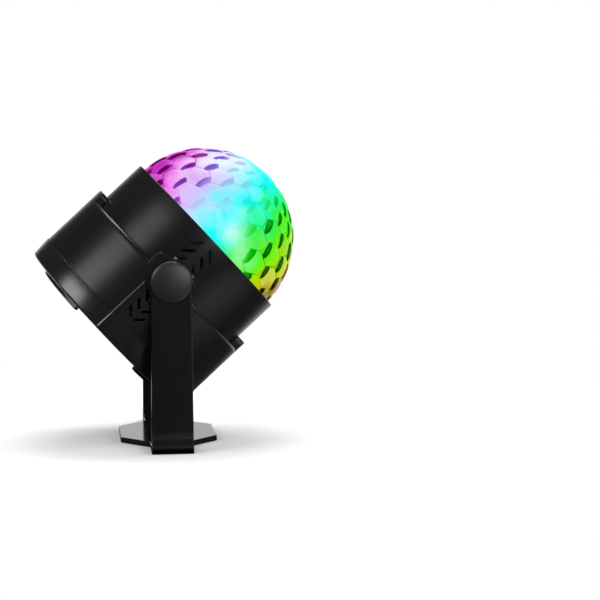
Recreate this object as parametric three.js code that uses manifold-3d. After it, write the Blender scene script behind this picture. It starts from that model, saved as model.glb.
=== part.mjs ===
// Disco ball light on a yoke stand: a faceted dome that turns on a tilting two-shell housing.
// Millimetres, +Z up. The origin is the middle of the base's underside, the tilt axis runs along Y,
// and the dome leans towards +X. The near side, with the vents seen from the front, is -Y.
import * as THREE from "three";
import { mergeVertices } from "three/addons/utils/BufferGeometryUtils.js";
import Module from "manifold-3d";

const wasm = await Module();
wasm.setup();

// Where the head stands
const pivotHeight = 71.8; // base's underside to the tilt axis
const headElevation = 42.6; // degrees of the dome's axis above the horizontal

// Clearances shared by all pieces
const seatGap = 0.3; // between pieces that seat on each other
const runGap = 0.3; // round a journal that turns
const cutOverrun = 1; // how far a cutting shape passes the face that it cuts

// Yoke: base plate, side strips and two arms in one moulding
const plateThickness = 2.4;
const plateHalfWidth = 20.8;
const plateHalfStraight = 17; // half the straight side of the plate
const plateChamferReach = 14.8; // along Y, from the straight side to the strip
const plateEdge = 0.4; // bevel round the plate
const stripHalfWidth = 8.8;
const armTopHalfWidth = 8.4;
const armThickness = 3;
const armGap = 0.4; // between the arm and the head's bearing boss
const footFlare = 1.8; // how far the arm's foot stands out
const footFlareLow = 2.9;
const footFlareHigh = 6.6;
const footFillet = 3; // inside corner between arm and strip
const wallHoleRadius = 2.1; // screw holes for fixing the yoke to a wall
const wallHoleOffset = 12.5;
const wallHoleSink = 1.4; // countersink depth

// Pivot: a flanged trunnion through the housing's ear, a screw and a cap outside the arm
const trunnionRadius = 4;
const trunnionFlat = 3.5; // axis to the flats that key it in the arm
const trunnionFlangeRadius = 6.4;
const trunnionFlangeThickness = 1.7;
const frictionWasherRadius = 6.6;
const frictionWasherThickness = 0.9;
const pivotScrewHeadRadius = 5;
const pivotScrewHeadHeight = 1;
const pivotScrewRadius = 1.5;
const pivotScrewLength = 5;
const capOverhang = 0.2; // past the arm's round top
const capRim = 0.9;
const capCrown = 1.7;

// Front housing: a straight tube that stands in the cup
const frontRadius = 42;
const frontWall = 1.7;
const frontEdge = 0.3;
const skirtDepth = 8; // parting plane to its lower end inside the cup
const deckSeatWidth = 5;
const deckSeatThickness = 2;

// Rear housing: a cup with two tongues over the front housing and a raised panel on each side
const cupStep = 4; // how far the cup stands out past the front housing
const cupWall = 2;
const cupDepth = 26.4; // parting plane to its mouth
const rimRound = 1.1;
const ledgeThickness = 2.4;
const tongueHeight = 4.55;
const tongueHalfAngle = 12; // degrees
const tongueCorner = 2;
const panelHalfWidth = 7;
const panelProud = 0.6; // past the cup's wall
const panelBevel = 1.1;

// Ears of the rear housing, which carry the bearings, with a boss outside and a thicker pad inside
const earHalfWidth = 12.4;
const earRim = 1; // above the pocket of the trunnion's flange
const earTopRadius = 30; // of its arched top edge
const earCorner = 2.2;
const bearingLength = 1.6;
const bossProud = 0.5; // past the cup's wall
const bossRim = 1.3; // round the friction washer's recess
const padRim = 2.3; // round the boss

// Vents: slots in pairs that point away from the pivot, the same on both housings
const ventCount = 3;
const ventFirst = 13.5; // pivot to the first pair's meeting point
const ventPitch = 4.75;
const ventWidth = 1.1;
const ventInner = 2.2; // centre line to the inner end of a slot in the front housing
const ventOuter = 5.6;
const rearVentInner = 0.9;
const rearVentOuter = 4;
const ventAngle = 45; // degrees

// Rear cover: end plate, band flush with the cup, spigot inside the cup, two arc feet
const coverDepth = 9.2; // cup's mouth to the rear face
const coverPlate = 2;
const bandProud = 0.4;
const bandTaper = 0.6;
const bandRound = 1;
const spigotWall = 1.8;
const spigotLength = 2.6;
const footArcInset = 9.3; // cup's outside to the feet's
const footArcWidth = 2.8;
const footArcHeight = 2.1;
const footArcHalfAngle = 57; // degrees
const micHoleRadius = 1;
const coverPadHeight = 1.5; // pads under the cover's screws
const coverScrewSink = 0.3; // rear face to the screws' heads

// Screws: one size for the housings, one for the small parts
const caseScrewRadius = 1.2;
const caseScrewHeadRadius = 2.6;
const caseScrewHeadHeight = 1.4;
const caseScrewLength = 12;
const coverScrewAngle = 22; // degrees from the tilt axis
const housingScrewAngle = 48;
const caseColumnRadius = 3.3;
const columnBite = 0.4; // how far a column reaches into the front housing's wall
const coverColumnSpare = 2; // column past the screw's end
const lugThickness = 2.7;
const smallScrewRadius = 0.9;
const smallScrewHeadRadius = 1.9;
const smallScrewHeadHeight = 1.1;
const smallScrewLength = 3;

// Deck across the front housing, with the heat sink, the light board and its lamps on it
const deckThickness = 1.6;
const deckHeight = 6.9; // parting plane to its underside
const sinkRadius = 24;
const sinkThickness = 2;
const boardThickness = 1.2;
const lampCircle = 13;
const lampBaseRadius = 3.9;
const lampBaseHeight = 1.4;
const lampLensRadius = 2.7;
const receiverRadius = 2.2;
const receiverHeight = 3;
const lightScrewInset = 3.5; // light board's edge to its screws

// Drive: a motor with a gearbox under the deck, and the shaft that turns the dome
const shaftRadius = 2.5;
const shaftFlat = 2;
const gearboxRadius = 13;
const gearboxHeight = 10.6;
const gearboxEarLength = 6.5;
const gearboxEarWidth = 6;
const gearboxEarThickness = 1.6;
const gearboxSocketDepth = 5;
const motorRadius = 9.6;
const motorLength = 11.6;
const motorRound = 1.1;
const motorCollarRadius = 3.2;
const motorCollarLength = 1.6;

// Control board on posts of the rear cover, and what it carries
const controlClear = 1.1; // round the board, inside the screw columns
const controlThickness = 1.6;
const controlHeight = 10.9; // rear plate's inner face to the board
const postRadius = 2.6;
const postInset = 5.5; // board's edge to the posts
const chipLength = 9;
const chipWidth = 6;
const chipHeight = 1.4;
const chipInset = 9; // board's edge to the chip's middle
const capacitorRadius = 2.6;
const capacitorLength = 6;
const capacitorInset = 10;
const micRadius = 3;
const micLength = 6;
const micInset = 10.5; // posts to the microphone

// Power inlet: a round socket with a contact pin
const inletInset = 15; // control board's edge to the inlet's middle
const inletRadius = 3.9;
const inletBore = 2.8;
const inletPin = 1;
const inletDepth = 8.5;
const inletFlange = 5;
const inletFlangeThickness = 1.2;
const inletPinRecess = 0.8;

// Dome: rings of six-sided lenses, and the carrier that joins it to the shaft
const domeGap = 0.5; // round the dome in the mouth of the front housing
const domeSink = 1.65; // mouth of the front housing to the dome's centre
const lensRelief = 0.7; // crown of a lens above the grooves
const lensTopShare = 0.62; // size of a lens's flat top
const domeWall = 2;
const domeSkirt = 5.2;
const lensesPerRing = 18;
const lensRings = 6;
const lensesPerCrownRing = 9;
const crownPolar = 10; // degrees from the apex to the corners of the first lens
const firstRingPolar = 24; // degrees from the apex to the first full ring's upper edge
const ringStep = 12; // degrees from ring to ring
const zigzag = 2.4; // degrees that a ring's edge rises and falls
const rimPolar = 90;
const carrierClear = 1.05; // lamps to the carrier
const carrierRingWidth = 2.6;
const carrierHeight = 3;
const spokeCount = 3;
const spokeWidth = 5;
const spokeHeight = 2.4;
const hubRadius = 5.6;
const hubHeight = 4.6;
const domeScrewRadius = 1;
const domeScrewHeadRadius = 2.4;
const domeScrewHeadHeight = 1.3;
const domeScrewLength = 5;
const screwTopShare = 0.7; // flat top of a screw's head

// Facets of round pieces
const wallSegments = 44;
const bossSegments = 24;
const pinSegments = 12;
const screwSegments = 8;
const arcSteps = 3;
const armTopSteps = 12;
const capSteps = 4;
const footSegments = 8;

// Radii and levels that several pieces share
const cupRadius = frontRadius + cupStep;
const cupInner = cupRadius - cupWall;
const ledgeInner = frontRadius + seatGap;
const frontInner = frontRadius - frontWall;
const flangePocketRadius = trunnionFlangeRadius + runGap;
const washerRecessRadius = frictionWasherRadius + runGap;
const bossRadius = washerRecessRadius + bossRim;
const padRadius = bossRadius + padRim;
const earHeight = flangePocketRadius + earRim;
const bossFace = cupRadius + bossProud;
const armInner = bossFace + armGap;
const armOuter = armInner + armThickness;
const capRadius = armTopHalfWidth + capOverhang;
const washerFloor = armInner - 2 * seatGap - frictionWasherThickness;
const pocketOuter = washerFloor - bearingLength;
const flangeOuter = pocketOuter - seatGap;
const flangeInner = flangeOuter - trunnionFlangeThickness;
const pocketInner = flangeInner - seatGap;
const screwSeat = armOuter - pivotScrewHeadHeight - seatGap;
const deckRadius = frontInner - seatGap;
const deckTop = deckHeight + deckThickness;
const sinkBottom = deckTop + seatGap;
const boardBottom = sinkBottom + sinkThickness + seatGap;
const boardTop = boardBottom + boardThickness;
const lampTop = boardTop + seatGap + lampBaseHeight + lampLensRadius;
const gearboxTop = deckHeight - seatGap;
const motorTop = gearboxTop - gearboxHeight - seatGap;
const carrierBottom = lampTop + carrierClear;
const domeCentre = carrierBottom + domeSkirt;
const frontLength = domeCentre + domeSink;
const domeCrown = frontInner - domeGap;
const domeGroove = domeCrown - lensRelief;
const domeInner = domeGroove - domeWall;
const rearFace = -cupDepth - coverDepth;
const rearInner = rearFace + coverPlate;
const padTop = rearInner + coverPadHeight;
const spigotRadius = cupInner - seatGap;
const coverScrewSeat = rearFace + coverScrewSink + caseScrewHeadHeight;
const lugTop = -skirtDepth - seatGap;
const lugBottom = lugTop - lugThickness;
const caseScrewCircle = frontInner - caseColumnRadius + columnBite;
const casePilot = caseScrewRadius + seatGap;
const smallPilot = smallScrewRadius + seatGap;
const controlBottom = rearInner + controlHeight;
const controlTop = controlBottom + controlThickness;
const controlRadius = caseScrewCircle - caseColumnRadius - controlClear;
const postCircle = controlRadius - postInset;
const micOffset = postCircle - micInset;
const inletOffset = controlRadius - inletInset;

// Finishes
function finish(color, roughness, metalness) {
  return new THREE.MeshStandardMaterial({ color, roughness, metalness });
}
const blackPlastic = finish("#191919", 0.42, 0);
const blackGloss = finish("#151515", 0.2, 0);
const clearPlastic = finish("#cfe9ff", 0.08, 0);
const whitePlastic = finish("#e9e9e4", 0.5, 0);
const zincSteel = finish("#b9bcc0", 0.32, 1);
const bareAluminium = finish("#c4c7cb", 0.38, 1);
const greenBoard = finish("#1f5a36", 0.5, 0);
const whiteBoard = finish("#e6e8e6", 0.45, 0);
const blackRubber = finish("#101010", 0.85, 0);

const radians = THREE.MathUtils.degToRad;

// A closed three.js geometry as a solid that can be joined and cut
function solid(geometry) {
  const bare = new THREE.BufferGeometry();
  bare.setAttribute("position", geometry.getAttribute("position"));
  bare.setIndex(geometry.getIndex());
  const welded = mergeVertices(bare);
  const points = welded.getAttribute("position").array;
  const corners = welded.getIndex().array;
  const kept = [];
  for (let i = 0; i < corners.length; i += 3) {
    const [a, b, c] = corners.slice(i, i + 3);
    if (a !== b && b !== c && c !== a) kept.push(a, b, c);
  }
  const vertex = (i) => new THREE.Vector3().fromArray(points, 3 * i);
  let volume = 0;
  for (let i = 0; i < kept.length; i += 3) {
    volume += vertex(kept[i]).dot(vertex(kept[i + 1]).cross(vertex(kept[i + 2])));
  }
  if (volume < 0) kept.reverse();
  const vertProperties = Float32Array.from(points);
  const triVerts = Uint32Array.from(kept);
  return new wasm.Manifold(new wasm.Mesh({ numProp: 3, vertProperties, triVerts }));
}

// A finished solid as a named mesh
function piece(name, body, material) {
  const mesh = body.getMesh();
  const geometry = new THREE.BufferGeometry();
  geometry.setAttribute("position", new THREE.BufferAttribute(Float32Array.from(mesh.vertProperties), 3));
  geometry.setIndex(new THREE.BufferAttribute(Uint32Array.from(mesh.triVerts), 1));
  geometry.computeVertexNormals();
  const named = new THREE.Mesh(geometry, material);
  named.name = name;
  return named;
}

// A profile of [radius, height] points turned round Z
function turned(profile, segments = wallSegments) {
  const points = profile.map(([radius, height]) => new THREE.Vector2(radius, height));
  return new THREE.LatheGeometry(points, segments).rotateX(Math.PI / 2);
}

// The same for a ring: the profile closes on itself
const turnedRing = (profile, segments) => turned([...profile, profile[0]], segments);

// A round bar along Z
const bar = (radius, low, high, segments = pinSegments) =>
  turned([[0, low], [radius, low], [radius, high], [0, high]], segments);

// A round tube along Z
const tube = (inner, outer, low, high, segments = wallSegments) =>
  turnedRing([[inner, low], [outer, low], [outer, high], [inner, high]], segments);

// A box from its lowest to its highest corner
function block([x0, y0, z0], [x1, y1, z1]) {
  const box = new THREE.BoxGeometry(x1 - x0, y1 - y0, z1 - z0);
  return box.translate((x0 + x1) / 2, (y0 + y1) / 2, (z0 + z1) / 2);
}

// An arc of [x, y] points between two angles in degrees
function arc(centreX, centreY, radius, from, to, steps = arcSteps) {
  return Array.from({ length: steps + 1 }, (unused, i) => {
    const angle = radians(from + ((to - from) * i) / steps);
    return [centreX + radius * Math.cos(angle), centreY + radius * Math.sin(angle)];
  });
}

// An outline of [x, y] points made thick along Z
function plateOf(outline, thickness) {
  const shape = new THREE.Shape(outline.map(([x, y]) => new THREE.Vector2(x, y)));
  return new THREE.ExtrudeGeometry(shape, { depth: thickness, bevelEnabled: false });
}

// A pivot piece made along +Z, laid along the tilt axis on one side: -1 is near, +1 is far
const toSide = (geometry, side) => geometry.rotateX((-side * Math.PI) / 2);
const sides = [["near", -1], ["far", 1]];

// A point on a circle round the head's axis, the angle counted from +X
const onCircle = (radius, angle) => [radius * Math.cos(radians(angle)), radius * Math.sin(radians(angle))];

// The four angles, counted from +X, that lie a given angle off the tilt axis
const fourAngles = (offAxis) => [90 - offAxis, 90 + offAxis, 270 - offAxis, 270 + offAxis];

// Yoke bracket

function plateOutline() {
  const chamferEnd = plateHalfStraight + plateChamferReach;
  const quarter = [
    [plateHalfWidth, plateHalfStraight],
    [stripHalfWidth, chamferEnd],
    [stripHalfWidth, armOuter + footFlare],
  ];
  const mirrored = quarter.map(([x, y]) => [-x, y]).reverse();
  const far = [...quarter, ...mirrored];
  return [...far, ...far.map(([x, y]) => [-x, -y])];
}

function basePlate() {
  const shape = new THREE.Shape(plateOutline().map(([x, y]) => new THREE.Vector2(x, y)));
  const plate = new THREE.ExtrudeGeometry(shape, {
    depth: plateThickness - 2 * plateEdge,
    bevelThickness: plateEdge,
    bevelSize: plateEdge,
    bevelOffset: -plateEdge,
    bevelSegments: 1,
  });
  return solid(plate.translate(0, 0, plateEdge));
}

// The arm's outline in X and height, with a round top
function armOutline() {
  const top = arc(0, pivotHeight, armTopHalfWidth, 0, 180, armTopSteps);
  return [[-stripHalfWidth, plateEdge], [stripHalfWidth, plateEdge], ...top];
}

// The foot's section in distance from the middle and height: it flares outwards and has a fillet inside
function footOutline() {
  const fillet = arc(armInner - footFillet, plateThickness + footFillet, footFillet, -90, 0);
  return [
    ...fillet,
    [armOuter, plateThickness + footFillet],
    [armOuter, footFlareHigh],
    [armOuter + footFlare, footFlareLow],
    [armOuter + footFlare, plateEdge],
    [armInner - footFillet, plateEdge],
  ];
}

function yokeArm(side) {
  const upright = plateOf(armOutline(), armThickness).rotateX(Math.PI / 2);
  const arm = solid(upright.translate(0, side > 0 ? armOuter : -armInner, 0));
  const foot = plateOf(footOutline(), 2 * stripHalfWidth).rotateX(Math.PI / 2).rotateZ(Math.PI / 2);
  foot.translate(-stripHalfWidth, 0, 0);
  if (side < 0) foot.rotateZ(Math.PI);
  return arm.add(solid(foot));
}

// The arm's hole has two flats for the trunnion and a round sink for the screw's head
function armHole(side) {
  const reach = armOuter + cutOverrun;
  const hole = solid(toSide(bar(trunnionRadius + runGap, armInner - cutOverrun, reach), side));
  const flat = trunnionFlat + runGap;
  const slab = solid(block([-flat, -reach, -flat * 2], [flat, reach, flat * 2]));
  const headRadius = pivotScrewHeadRadius + seatGap;
  const sink = solid(toSide(bar(headRadius, screwSeat - seatGap, reach), side));
  return hole.intersect(slab).add(sink).translate([0, 0, pivotHeight]);
}

function wallHole(side) {
  const through = bar(wallHoleRadius, -cutOverrun, plateThickness + cutOverrun);
  const sinkFloor = plateThickness - wallHoleSink;
  const sink = turned([
    [0, sinkFloor],
    [wallHoleRadius, sinkFloor],
    [wallHoleRadius + wallHoleSink + cutOverrun, plateThickness + cutOverrun],
    [0, plateThickness + cutOverrun],
  ], pinSegments);
  return solid(through).add(solid(sink)).translate([0, side * wallHoleOffset, 0]);
}

function yokeBracket() {
  let bracket = basePlate();
  for (const [, side] of sides) bracket = bracket.add(yokeArm(side));
  for (const [, side] of sides) bracket = bracket.subtract(armHole(side)).subtract(wallHole(side));
  return bracket;
}

// Pivot pieces, made along +Z with the head's middle at 0

function trunnion() {
  const end = screwSeat - 2 * seatGap;
  const stem = solid(turned([
    [0, flangeInner],
    [trunnionFlangeRadius, flangeInner],
    [trunnionFlangeRadius, flangeOuter],
    [trunnionRadius, flangeOuter],
    [trunnionRadius, end],
    [0, end],
  ], pinSegments));
  const flats = solid(block(
    [trunnionFlat, -trunnionRadius * 2, armInner],
    [trunnionRadius * 2, trunnionRadius * 2, end + cutOverrun],
  ));
  const boreEnd = screwSeat - pivotScrewLength - 2 * seatGap;
  const bore = bar(pivotScrewRadius + seatGap, boreEnd, end + cutOverrun);
  return stem.subtract(flats).subtract(flats.rotate([0, 0, 180])).subtract(solid(bore));
}

const pivotScrew = () => solid(turned([
  [0, screwSeat - pivotScrewLength],
  [pivotScrewRadius, screwSeat - pivotScrewLength],
  [pivotScrewRadius, screwSeat],
  [pivotScrewHeadRadius, screwSeat],
  [pivotScrewHeadRadius, screwSeat + pivotScrewHeadHeight],
  [0, screwSeat + pivotScrewHeadHeight],
], pinSegments));

const frictionWasher = () => solid(tube(
  trunnionRadius + runGap,
  frictionWasherRadius,
  washerFloor + seatGap,
  armInner - seatGap,
  pinSegments,
));

// The crown is a quarter of an ellipse
function pivotCap() {
  const base = armOuter + seatGap;
  const quarter = arc(0, 0, 1, 0, 90, capSteps);
  const crown = quarter.map(([x, y]) => [x * capRadius, base + capRim + y * capCrown]);
  return solid(turned([[0, base], [capRadius, base], ...crown], bossSegments));
}

// Head housings, made along +Z from the parting plane at 0

// A ring round Z, cut to an outline of [x, z] points seen from one side of the tilt axis
function ringPatch(side, inner, outer, outline) {
  const levels = outline.map(([, level]) => level);
  const ring = tube(inner, outer, Math.min(...levels), Math.max(...levels));
  const prism = plateOf(outline, outer).rotateX(Math.PI / 2);
  if (side > 0) prism.rotateZ(Math.PI);
  return solid(ring).intersect(solid(prism));
}

// The ear's outline rises from inside the cup's rim to corners and an arched top
function earOutline() {
  const reach = earHalfWidth - earCorner;
  const slope = THREE.MathUtils.radToDeg(Math.asin(reach / (earTopRadius - earCorner)));
  const cornerLevel = earHeight - earTopRadius + (earTopRadius - earCorner) * Math.cos(radians(slope));
  const corner = arc(reach, cornerLevel, earCorner, 0, 90 - slope);
  const top = arc(0, earHeight - earTopRadius, earTopRadius, 90 - slope, 90 + slope);
  const right = [[earHalfWidth, -ledgeThickness], ...corner];
  const left = right.map(([x, level]) => [-x, level]).reverse();
  return [...right, ...top.slice(1, -1), ...left];
}

// An ear with its boss, and the pad that thickens the cup's wall round the bearing
function bearingEar(side) {
  const ear = ringPatch(side, ledgeInner, cupRadius, earOutline());
  const boss = solid(toSide(bar(bossRadius, pocketOuter, bossFace, bossSegments), side));
  const wall = solid(tube(ledgeInner, cupInner + cupWall / 2, -padRadius, -ledgeThickness / 2));
  const pad = solid(toSide(bar(padRadius, frontInner, cupRadius, bossSegments), side)).intersect(wall);
  return ear.add(boss).add(pad);
}

// What the bearing leaves open: washer recess, journal bore and flange pocket
function bearingHollow(side) {
  const recess = bar(washerRecessRadius, washerFloor, bossFace + cutOverrun);
  const bore = bar(trunnionRadius + runGap, pocketInner, bossFace);
  const pocket = bar(flangePocketRadius, pocketInner, pocketOuter);
  const hollows = [recess, bore, pocket].map((hollow) => solid(toSide(hollow, side)));
  return hollows.reduce((all, hollow) => all.add(hollow));
}

// The slots of one side: pairs that meet beyond their ends, pointing along direction
function vents(side, direction, inner, outer) {
  const run = (outer - inner) / Math.cos(radians(ventAngle));
  const middle = (outer + inner) / 2;
  let slots = null;
  for (let i = 0; i < ventCount; i += 1) {
    const drop = middle * Math.tan(radians(ventAngle));
    const height = direction * (ventFirst + i * ventPitch - drop);
    for (const hand of [-1, 1]) {
      const slot = new THREE.BoxGeometry(run, cupRadius, ventWidth);
      slot.rotateY(radians(ventAngle) * hand * direction);
      slot.translate(hand * middle, side * cupRadius, height);
      slots = slots ? slots.add(solid(slot)) : solid(slot);
    }
  }
  return slots;
}

function frontShell() {
  const skirtLow = -skirtDepth;
  const shell = solid(turnedRing([
    [frontInner, skirtLow],
    [frontRadius, skirtLow],
    [frontRadius, frontLength - frontEdge],
    [frontRadius - frontEdge, frontLength],
    [frontInner, frontLength],
  ]));
  const seatTop = deckHeight - seatGap;
  const seatInner = deckRadius - deckSeatWidth;
  const seatMiddle = frontInner + frontWall / 2;
  return shell.add(solid(tube(seatInner, seatMiddle, seatTop - deckSeatThickness, seatTop)));
}

function housingColumns() {
  return fourAngles(housingScrewAngle).map((angle) => {
    const [x, y] = onCircle(caseScrewCircle, angle);
    const top = deckHeight - seatGap - deckSeatThickness / 2;
    return solid(bar(caseColumnRadius, -skirtDepth, top, screwSegments).translate(x, y, 0));
  });
}

function screwHoles(angles, circle, radius, low, high) {
  return angles.map((angle) => {
    const [x, y] = onCircle(circle, angle);
    return solid(bar(radius, low, high, screwSegments).translate(x, y, 0));
  });
}

function frontHousing() {
  let housing = frontShell();
  for (const [, side] of sides) {
    housing = housing.subtract(vents(side, 1, ventInner, ventOuter)).subtract(bearingHollow(side));
  }
  for (const column of housingColumns()) housing = housing.add(column);
  const low = -skirtDepth - cutOverrun;
  const pilotTop = lugBottom + caseScrewLength + seatGap;
  const holes = [
    ...screwHoles(fourAngles(housingScrewAngle), caseScrewCircle, casePilot, low, pilotTop),
    ...screwHoles(deckScrewAngles, deckScrewCircle, smallPilot, 0, deckHeight),
  ];
  for (const hole of holes) housing = housing.subtract(hole);
  return housing;
}

// The deck's screws stand on its seat, clear of the columns below
const deckScrewCircle = deckRadius - deckSeatWidth / 2;
const deckScrewAngles = [0, 120, 240];

function cupShell() {
  const rim = arc(cupRadius - rimRound, -rimRound, rimRound, 0, 90);
  return solid(turnedRing([
    [cupInner, -cupDepth],
    [cupRadius, -cupDepth],
    ...rim,
    [ledgeInner, 0],
    [ledgeInner, -ledgeThickness],
    [cupInner, -ledgeThickness - (cupInner - ledgeInner)],
  ]));
}

// A tongue over the front housing, at +X and -X, with rounded corners seen from outside
function tongue(side) {
  const half = cupRadius * Math.sin(radians(tongueHalfAngle));
  const outline = [
    [-half, -rimRound],
    [half, -rimRound],
    ...arc(half - tongueCorner, tongueHeight - tongueCorner, tongueCorner, 0, 90),
    ...arc(-half + tongueCorner, tongueHeight - tongueCorner, tongueCorner, 90, 180),
  ];
  return ringPatch(side, ledgeInner, cupRadius, outline).rotate([0, 0, 90]);
}

// A raised panel with bevelled sides below each bearing, across the cup and the cover's band, up to the pad
function raisedPanel(side, low, high) {
  const top = cupRadius + panelProud;
  const foot = panelHalfWidth + panelBevel;
  const reach = (Math.asin(panelHalfWidth / top) * 180) / Math.PI;
  const root = cupRadius - cupWall / 2;
  const section = [
    ...arc(0, 0, top, 90 - reach, 90 + reach),
    [-foot, Math.sqrt(cupRadius ** 2 - foot ** 2)],
    [-foot, root],
    [foot, root],
    [foot, Math.sqrt(cupRadius ** 2 - foot ** 2)],
  ];
  const panel = plateOf(section, high - low).translate(0, 0, low);
  if (side < 0) panel.rotateZ(Math.PI);
  const pad = toSide(bar(padRadius, 0, top + cutOverrun, bossSegments), side);
  return solid(panel).subtract(solid(pad));
}

// Columns for the cover's screws, held to the wall by webs
function coverColumns() {
  const low = padTop + seatGap;
  const high = low + caseScrewLength + coverColumnSpare;
  const half = caseColumnRadius / 2;
  const webLow = -cupDepth + spigotLength + seatGap;
  const webEnd = cupInner - caseScrewCircle + cupWall / 2;
  return fourAngles(coverScrewAngle).map((angle) => {
    const [x, y] = onCircle(caseScrewCircle, angle);
    const column = bar(caseColumnRadius, low, high, screwSegments);
    const web = block([0, -half, webLow], [webEnd, half, high]).rotateZ(radians(angle));
    return solid(column).add(solid(web)).translate([x, y, 0]);
  });
}

// Lugs that the housing screws pass through, up into the front housing's columns
function housingLugs() {
  return fourAngles(housingScrewAngle).map((angle) => {
    const half = caseColumnRadius;
    const lug = block([caseScrewCircle - half, -half, lugBottom], [cupInner + cupWall / 2, half, lugTop]);
    return solid(lug.rotateZ(radians(angle)));
  });
}

function rearHousing() {
  let cup = cupShell();
  for (const [, side] of sides) {
    cup = cup.add(tongue(side)).add(bearingEar(side)).add(raisedPanel(side, -cupDepth, -ledgeThickness));
    cup = cup.subtract(vents(side, -1, rearVentInner, rearVentOuter));
  }
  for (const part of [...coverColumns(), ...housingLugs()]) cup = cup.add(part);
  for (const [, side] of sides) cup = cup.subtract(bearingHollow(side));
  const lugHoles = screwHoles(
    fourAngles(housingScrewAngle),
    caseScrewCircle,
    casePilot,
    lugBottom - cutOverrun,
    lugTop + cutOverrun,
  );
  const pilotTop = coverScrewSeat + caseScrewLength + seatGap;
  const pilots = screwHoles(fourAngles(coverScrewAngle), caseScrewCircle, casePilot, rearFace, pilotTop);
  for (const hole of [...lugHoles, ...pilots]) cup = cup.subtract(hole);
  return cup;
}

// Rear cover

function coverBody() {
  const bandOuter = cupRadius + bandProud;
  const bandRear = bandOuter - bandTaper;
  const corner = arc(bandRear - bandRound, rearFace + bandRound, bandRound, -90, 0);
  const bandTop = -cupDepth - seatGap;
  return solid(turned([
    [0, rearFace],
    ...corner,
    [bandOuter, bandTop],
    [spigotRadius, bandTop],
    [spigotRadius, -cupDepth + spigotLength],
    [spigotRadius - spigotWall, -cupDepth + spigotLength],
    [spigotRadius - spigotWall, rearInner],
    [0, rearInner],
  ]));
}

// An arc foot is a stretch of ring between two angles, centred on +X or -X
function arcFoot(side) {
  const half = radians(footArcHalfAngle);
  const outer = cupRadius - footArcInset;
  const shape = new THREE.Shape();
  shape.absarc(0, 0, outer, -half, half, false);
  shape.absarc(0, 0, outer - footArcWidth, half, -half, true);
  const foot = new THREE.ExtrudeGeometry(shape, {
    depth: footArcHeight + coverPlate / 2,
    bevelEnabled: false,
    curveSegments: footSegments,
  });
  if (side < 0) foot.rotateZ(Math.PI);
  return solid(foot.translate(0, 0, rearFace - footArcHeight));
}

const postAngles = [60, 180, 300];

// Posts for the control board and pads under the cover's screws, standing on the plate
function coverPillars(angles, circle, radius, top) {
  return angles.map((angle) => {
    const [x, y] = onCircle(circle, angle);
    return solid(bar(radius, rearInner - coverPlate / 2, top, screwSegments).translate(x, y, 0));
  });
}

function rearCover() {
  let cover = coverBody();
  const angles = fourAngles(coverScrewAngle);
  const posts = coverPillars(postAngles, postCircle, postRadius, controlBottom - seatGap);
  const pads = coverPillars(angles, caseScrewCircle, caseColumnRadius, padTop);
  for (const pillar of [...posts, ...pads]) cover = cover.add(pillar);
  for (const [, side] of sides) {
    cover = cover.add(arcFoot(side)).add(raisedPanel(side, rearFace + bandRound, -cupDepth - seatGap));
  }
  const low = rearFace - cutOverrun;
  const high = padTop + cutOverrun;
  const postPilotLow = controlTop - smallScrewLength - seatGap;
  const headRadius = caseScrewHeadRadius + seatGap;
  const holes = [
    ...screwHoles(angles, caseScrewCircle, casePilot, low, high),
    ...screwHoles(angles, caseScrewCircle, headRadius, low, coverScrewSeat + seatGap),
    ...screwHoles(postAngles, postCircle, smallPilot, postPilotLow, controlBottom),
    solid(bar(inletRadius + seatGap, low, high).translate(inletOffset, 0, 0)),
    solid(bar(micHoleRadius, low, high, screwSegments).translate(-micOffset, 0, 0)),
  ];
  for (const hole of holes) cover = cover.subtract(hole);
  return cover;
}

// A pan-head screw along +Z with its head's seat at 0 and its head below
function screw({ radius, length, headRadius, headHeight }) {
  return turned([
    [0, -headHeight],
    [headRadius * screwTopShare, -headHeight],
    [headRadius, -headHeight / 2],
    [headRadius, 0],
    [radius, 0],
    [radius, length],
    [0, length],
  ], screwSegments);
}
const caseScrew = () => screw({
  radius: caseScrewRadius,
  length: caseScrewLength,
  headRadius: caseScrewHeadRadius,
  headHeight: caseScrewHeadHeight,
});
const smallScrew = () => screw({
  radius: smallScrewRadius,
  length: smallScrewLength,
  headRadius: smallScrewHeadRadius,
  headHeight: smallScrewHeadHeight,
});

// Copies of a screw on a circle round the head's axis, each a piece of its own
function screwsOnCircle(name, shape, { angles, circle, seat, turn }) {
  return angles.map((angle, i) => {
    const [x, y] = onCircle(circle, angle);
    return piece(`${name}_${i + 1}`, solid(shape().rotateX(turn).translate(x, y, seat)), zincSteel);
  });
}
const fromRear = 0;
const fromFront = Math.PI;

// Deck, heat sink, light board and lamps

const lampAngles = [90, 210, 330];
const lightScrewAngles = [30, 150];
const receiverAngle = 270;
const lightScrewCircle = sinkRadius - lightScrewInset;
const gearboxScrewAngles = [90, 270];
const gearboxEarReach = gearboxRadius + gearboxEarLength;
const gearboxScrewCircle = gearboxEarReach - gearboxEarWidth / 2;
const shaftHole = shaftRadius + runGap;

function deckPlate() {
  let deck = solid(tube(shaftHole, deckRadius, deckHeight, deckTop, bossSegments));
  const low = deckHeight - cutOverrun;
  const high = deckTop + cutOverrun;
  const holes = [
    ...screwHoles(deckScrewAngles, deckScrewCircle, smallPilot, low, high),
    ...screwHoles(lightScrewAngles, lightScrewCircle, smallPilot, low, high),
    ...screwHoles(gearboxScrewAngles, gearboxScrewCircle, smallPilot, low, high),
  ];
  for (const cut of holes) deck = deck.subtract(cut);
  return deck;
}

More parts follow.
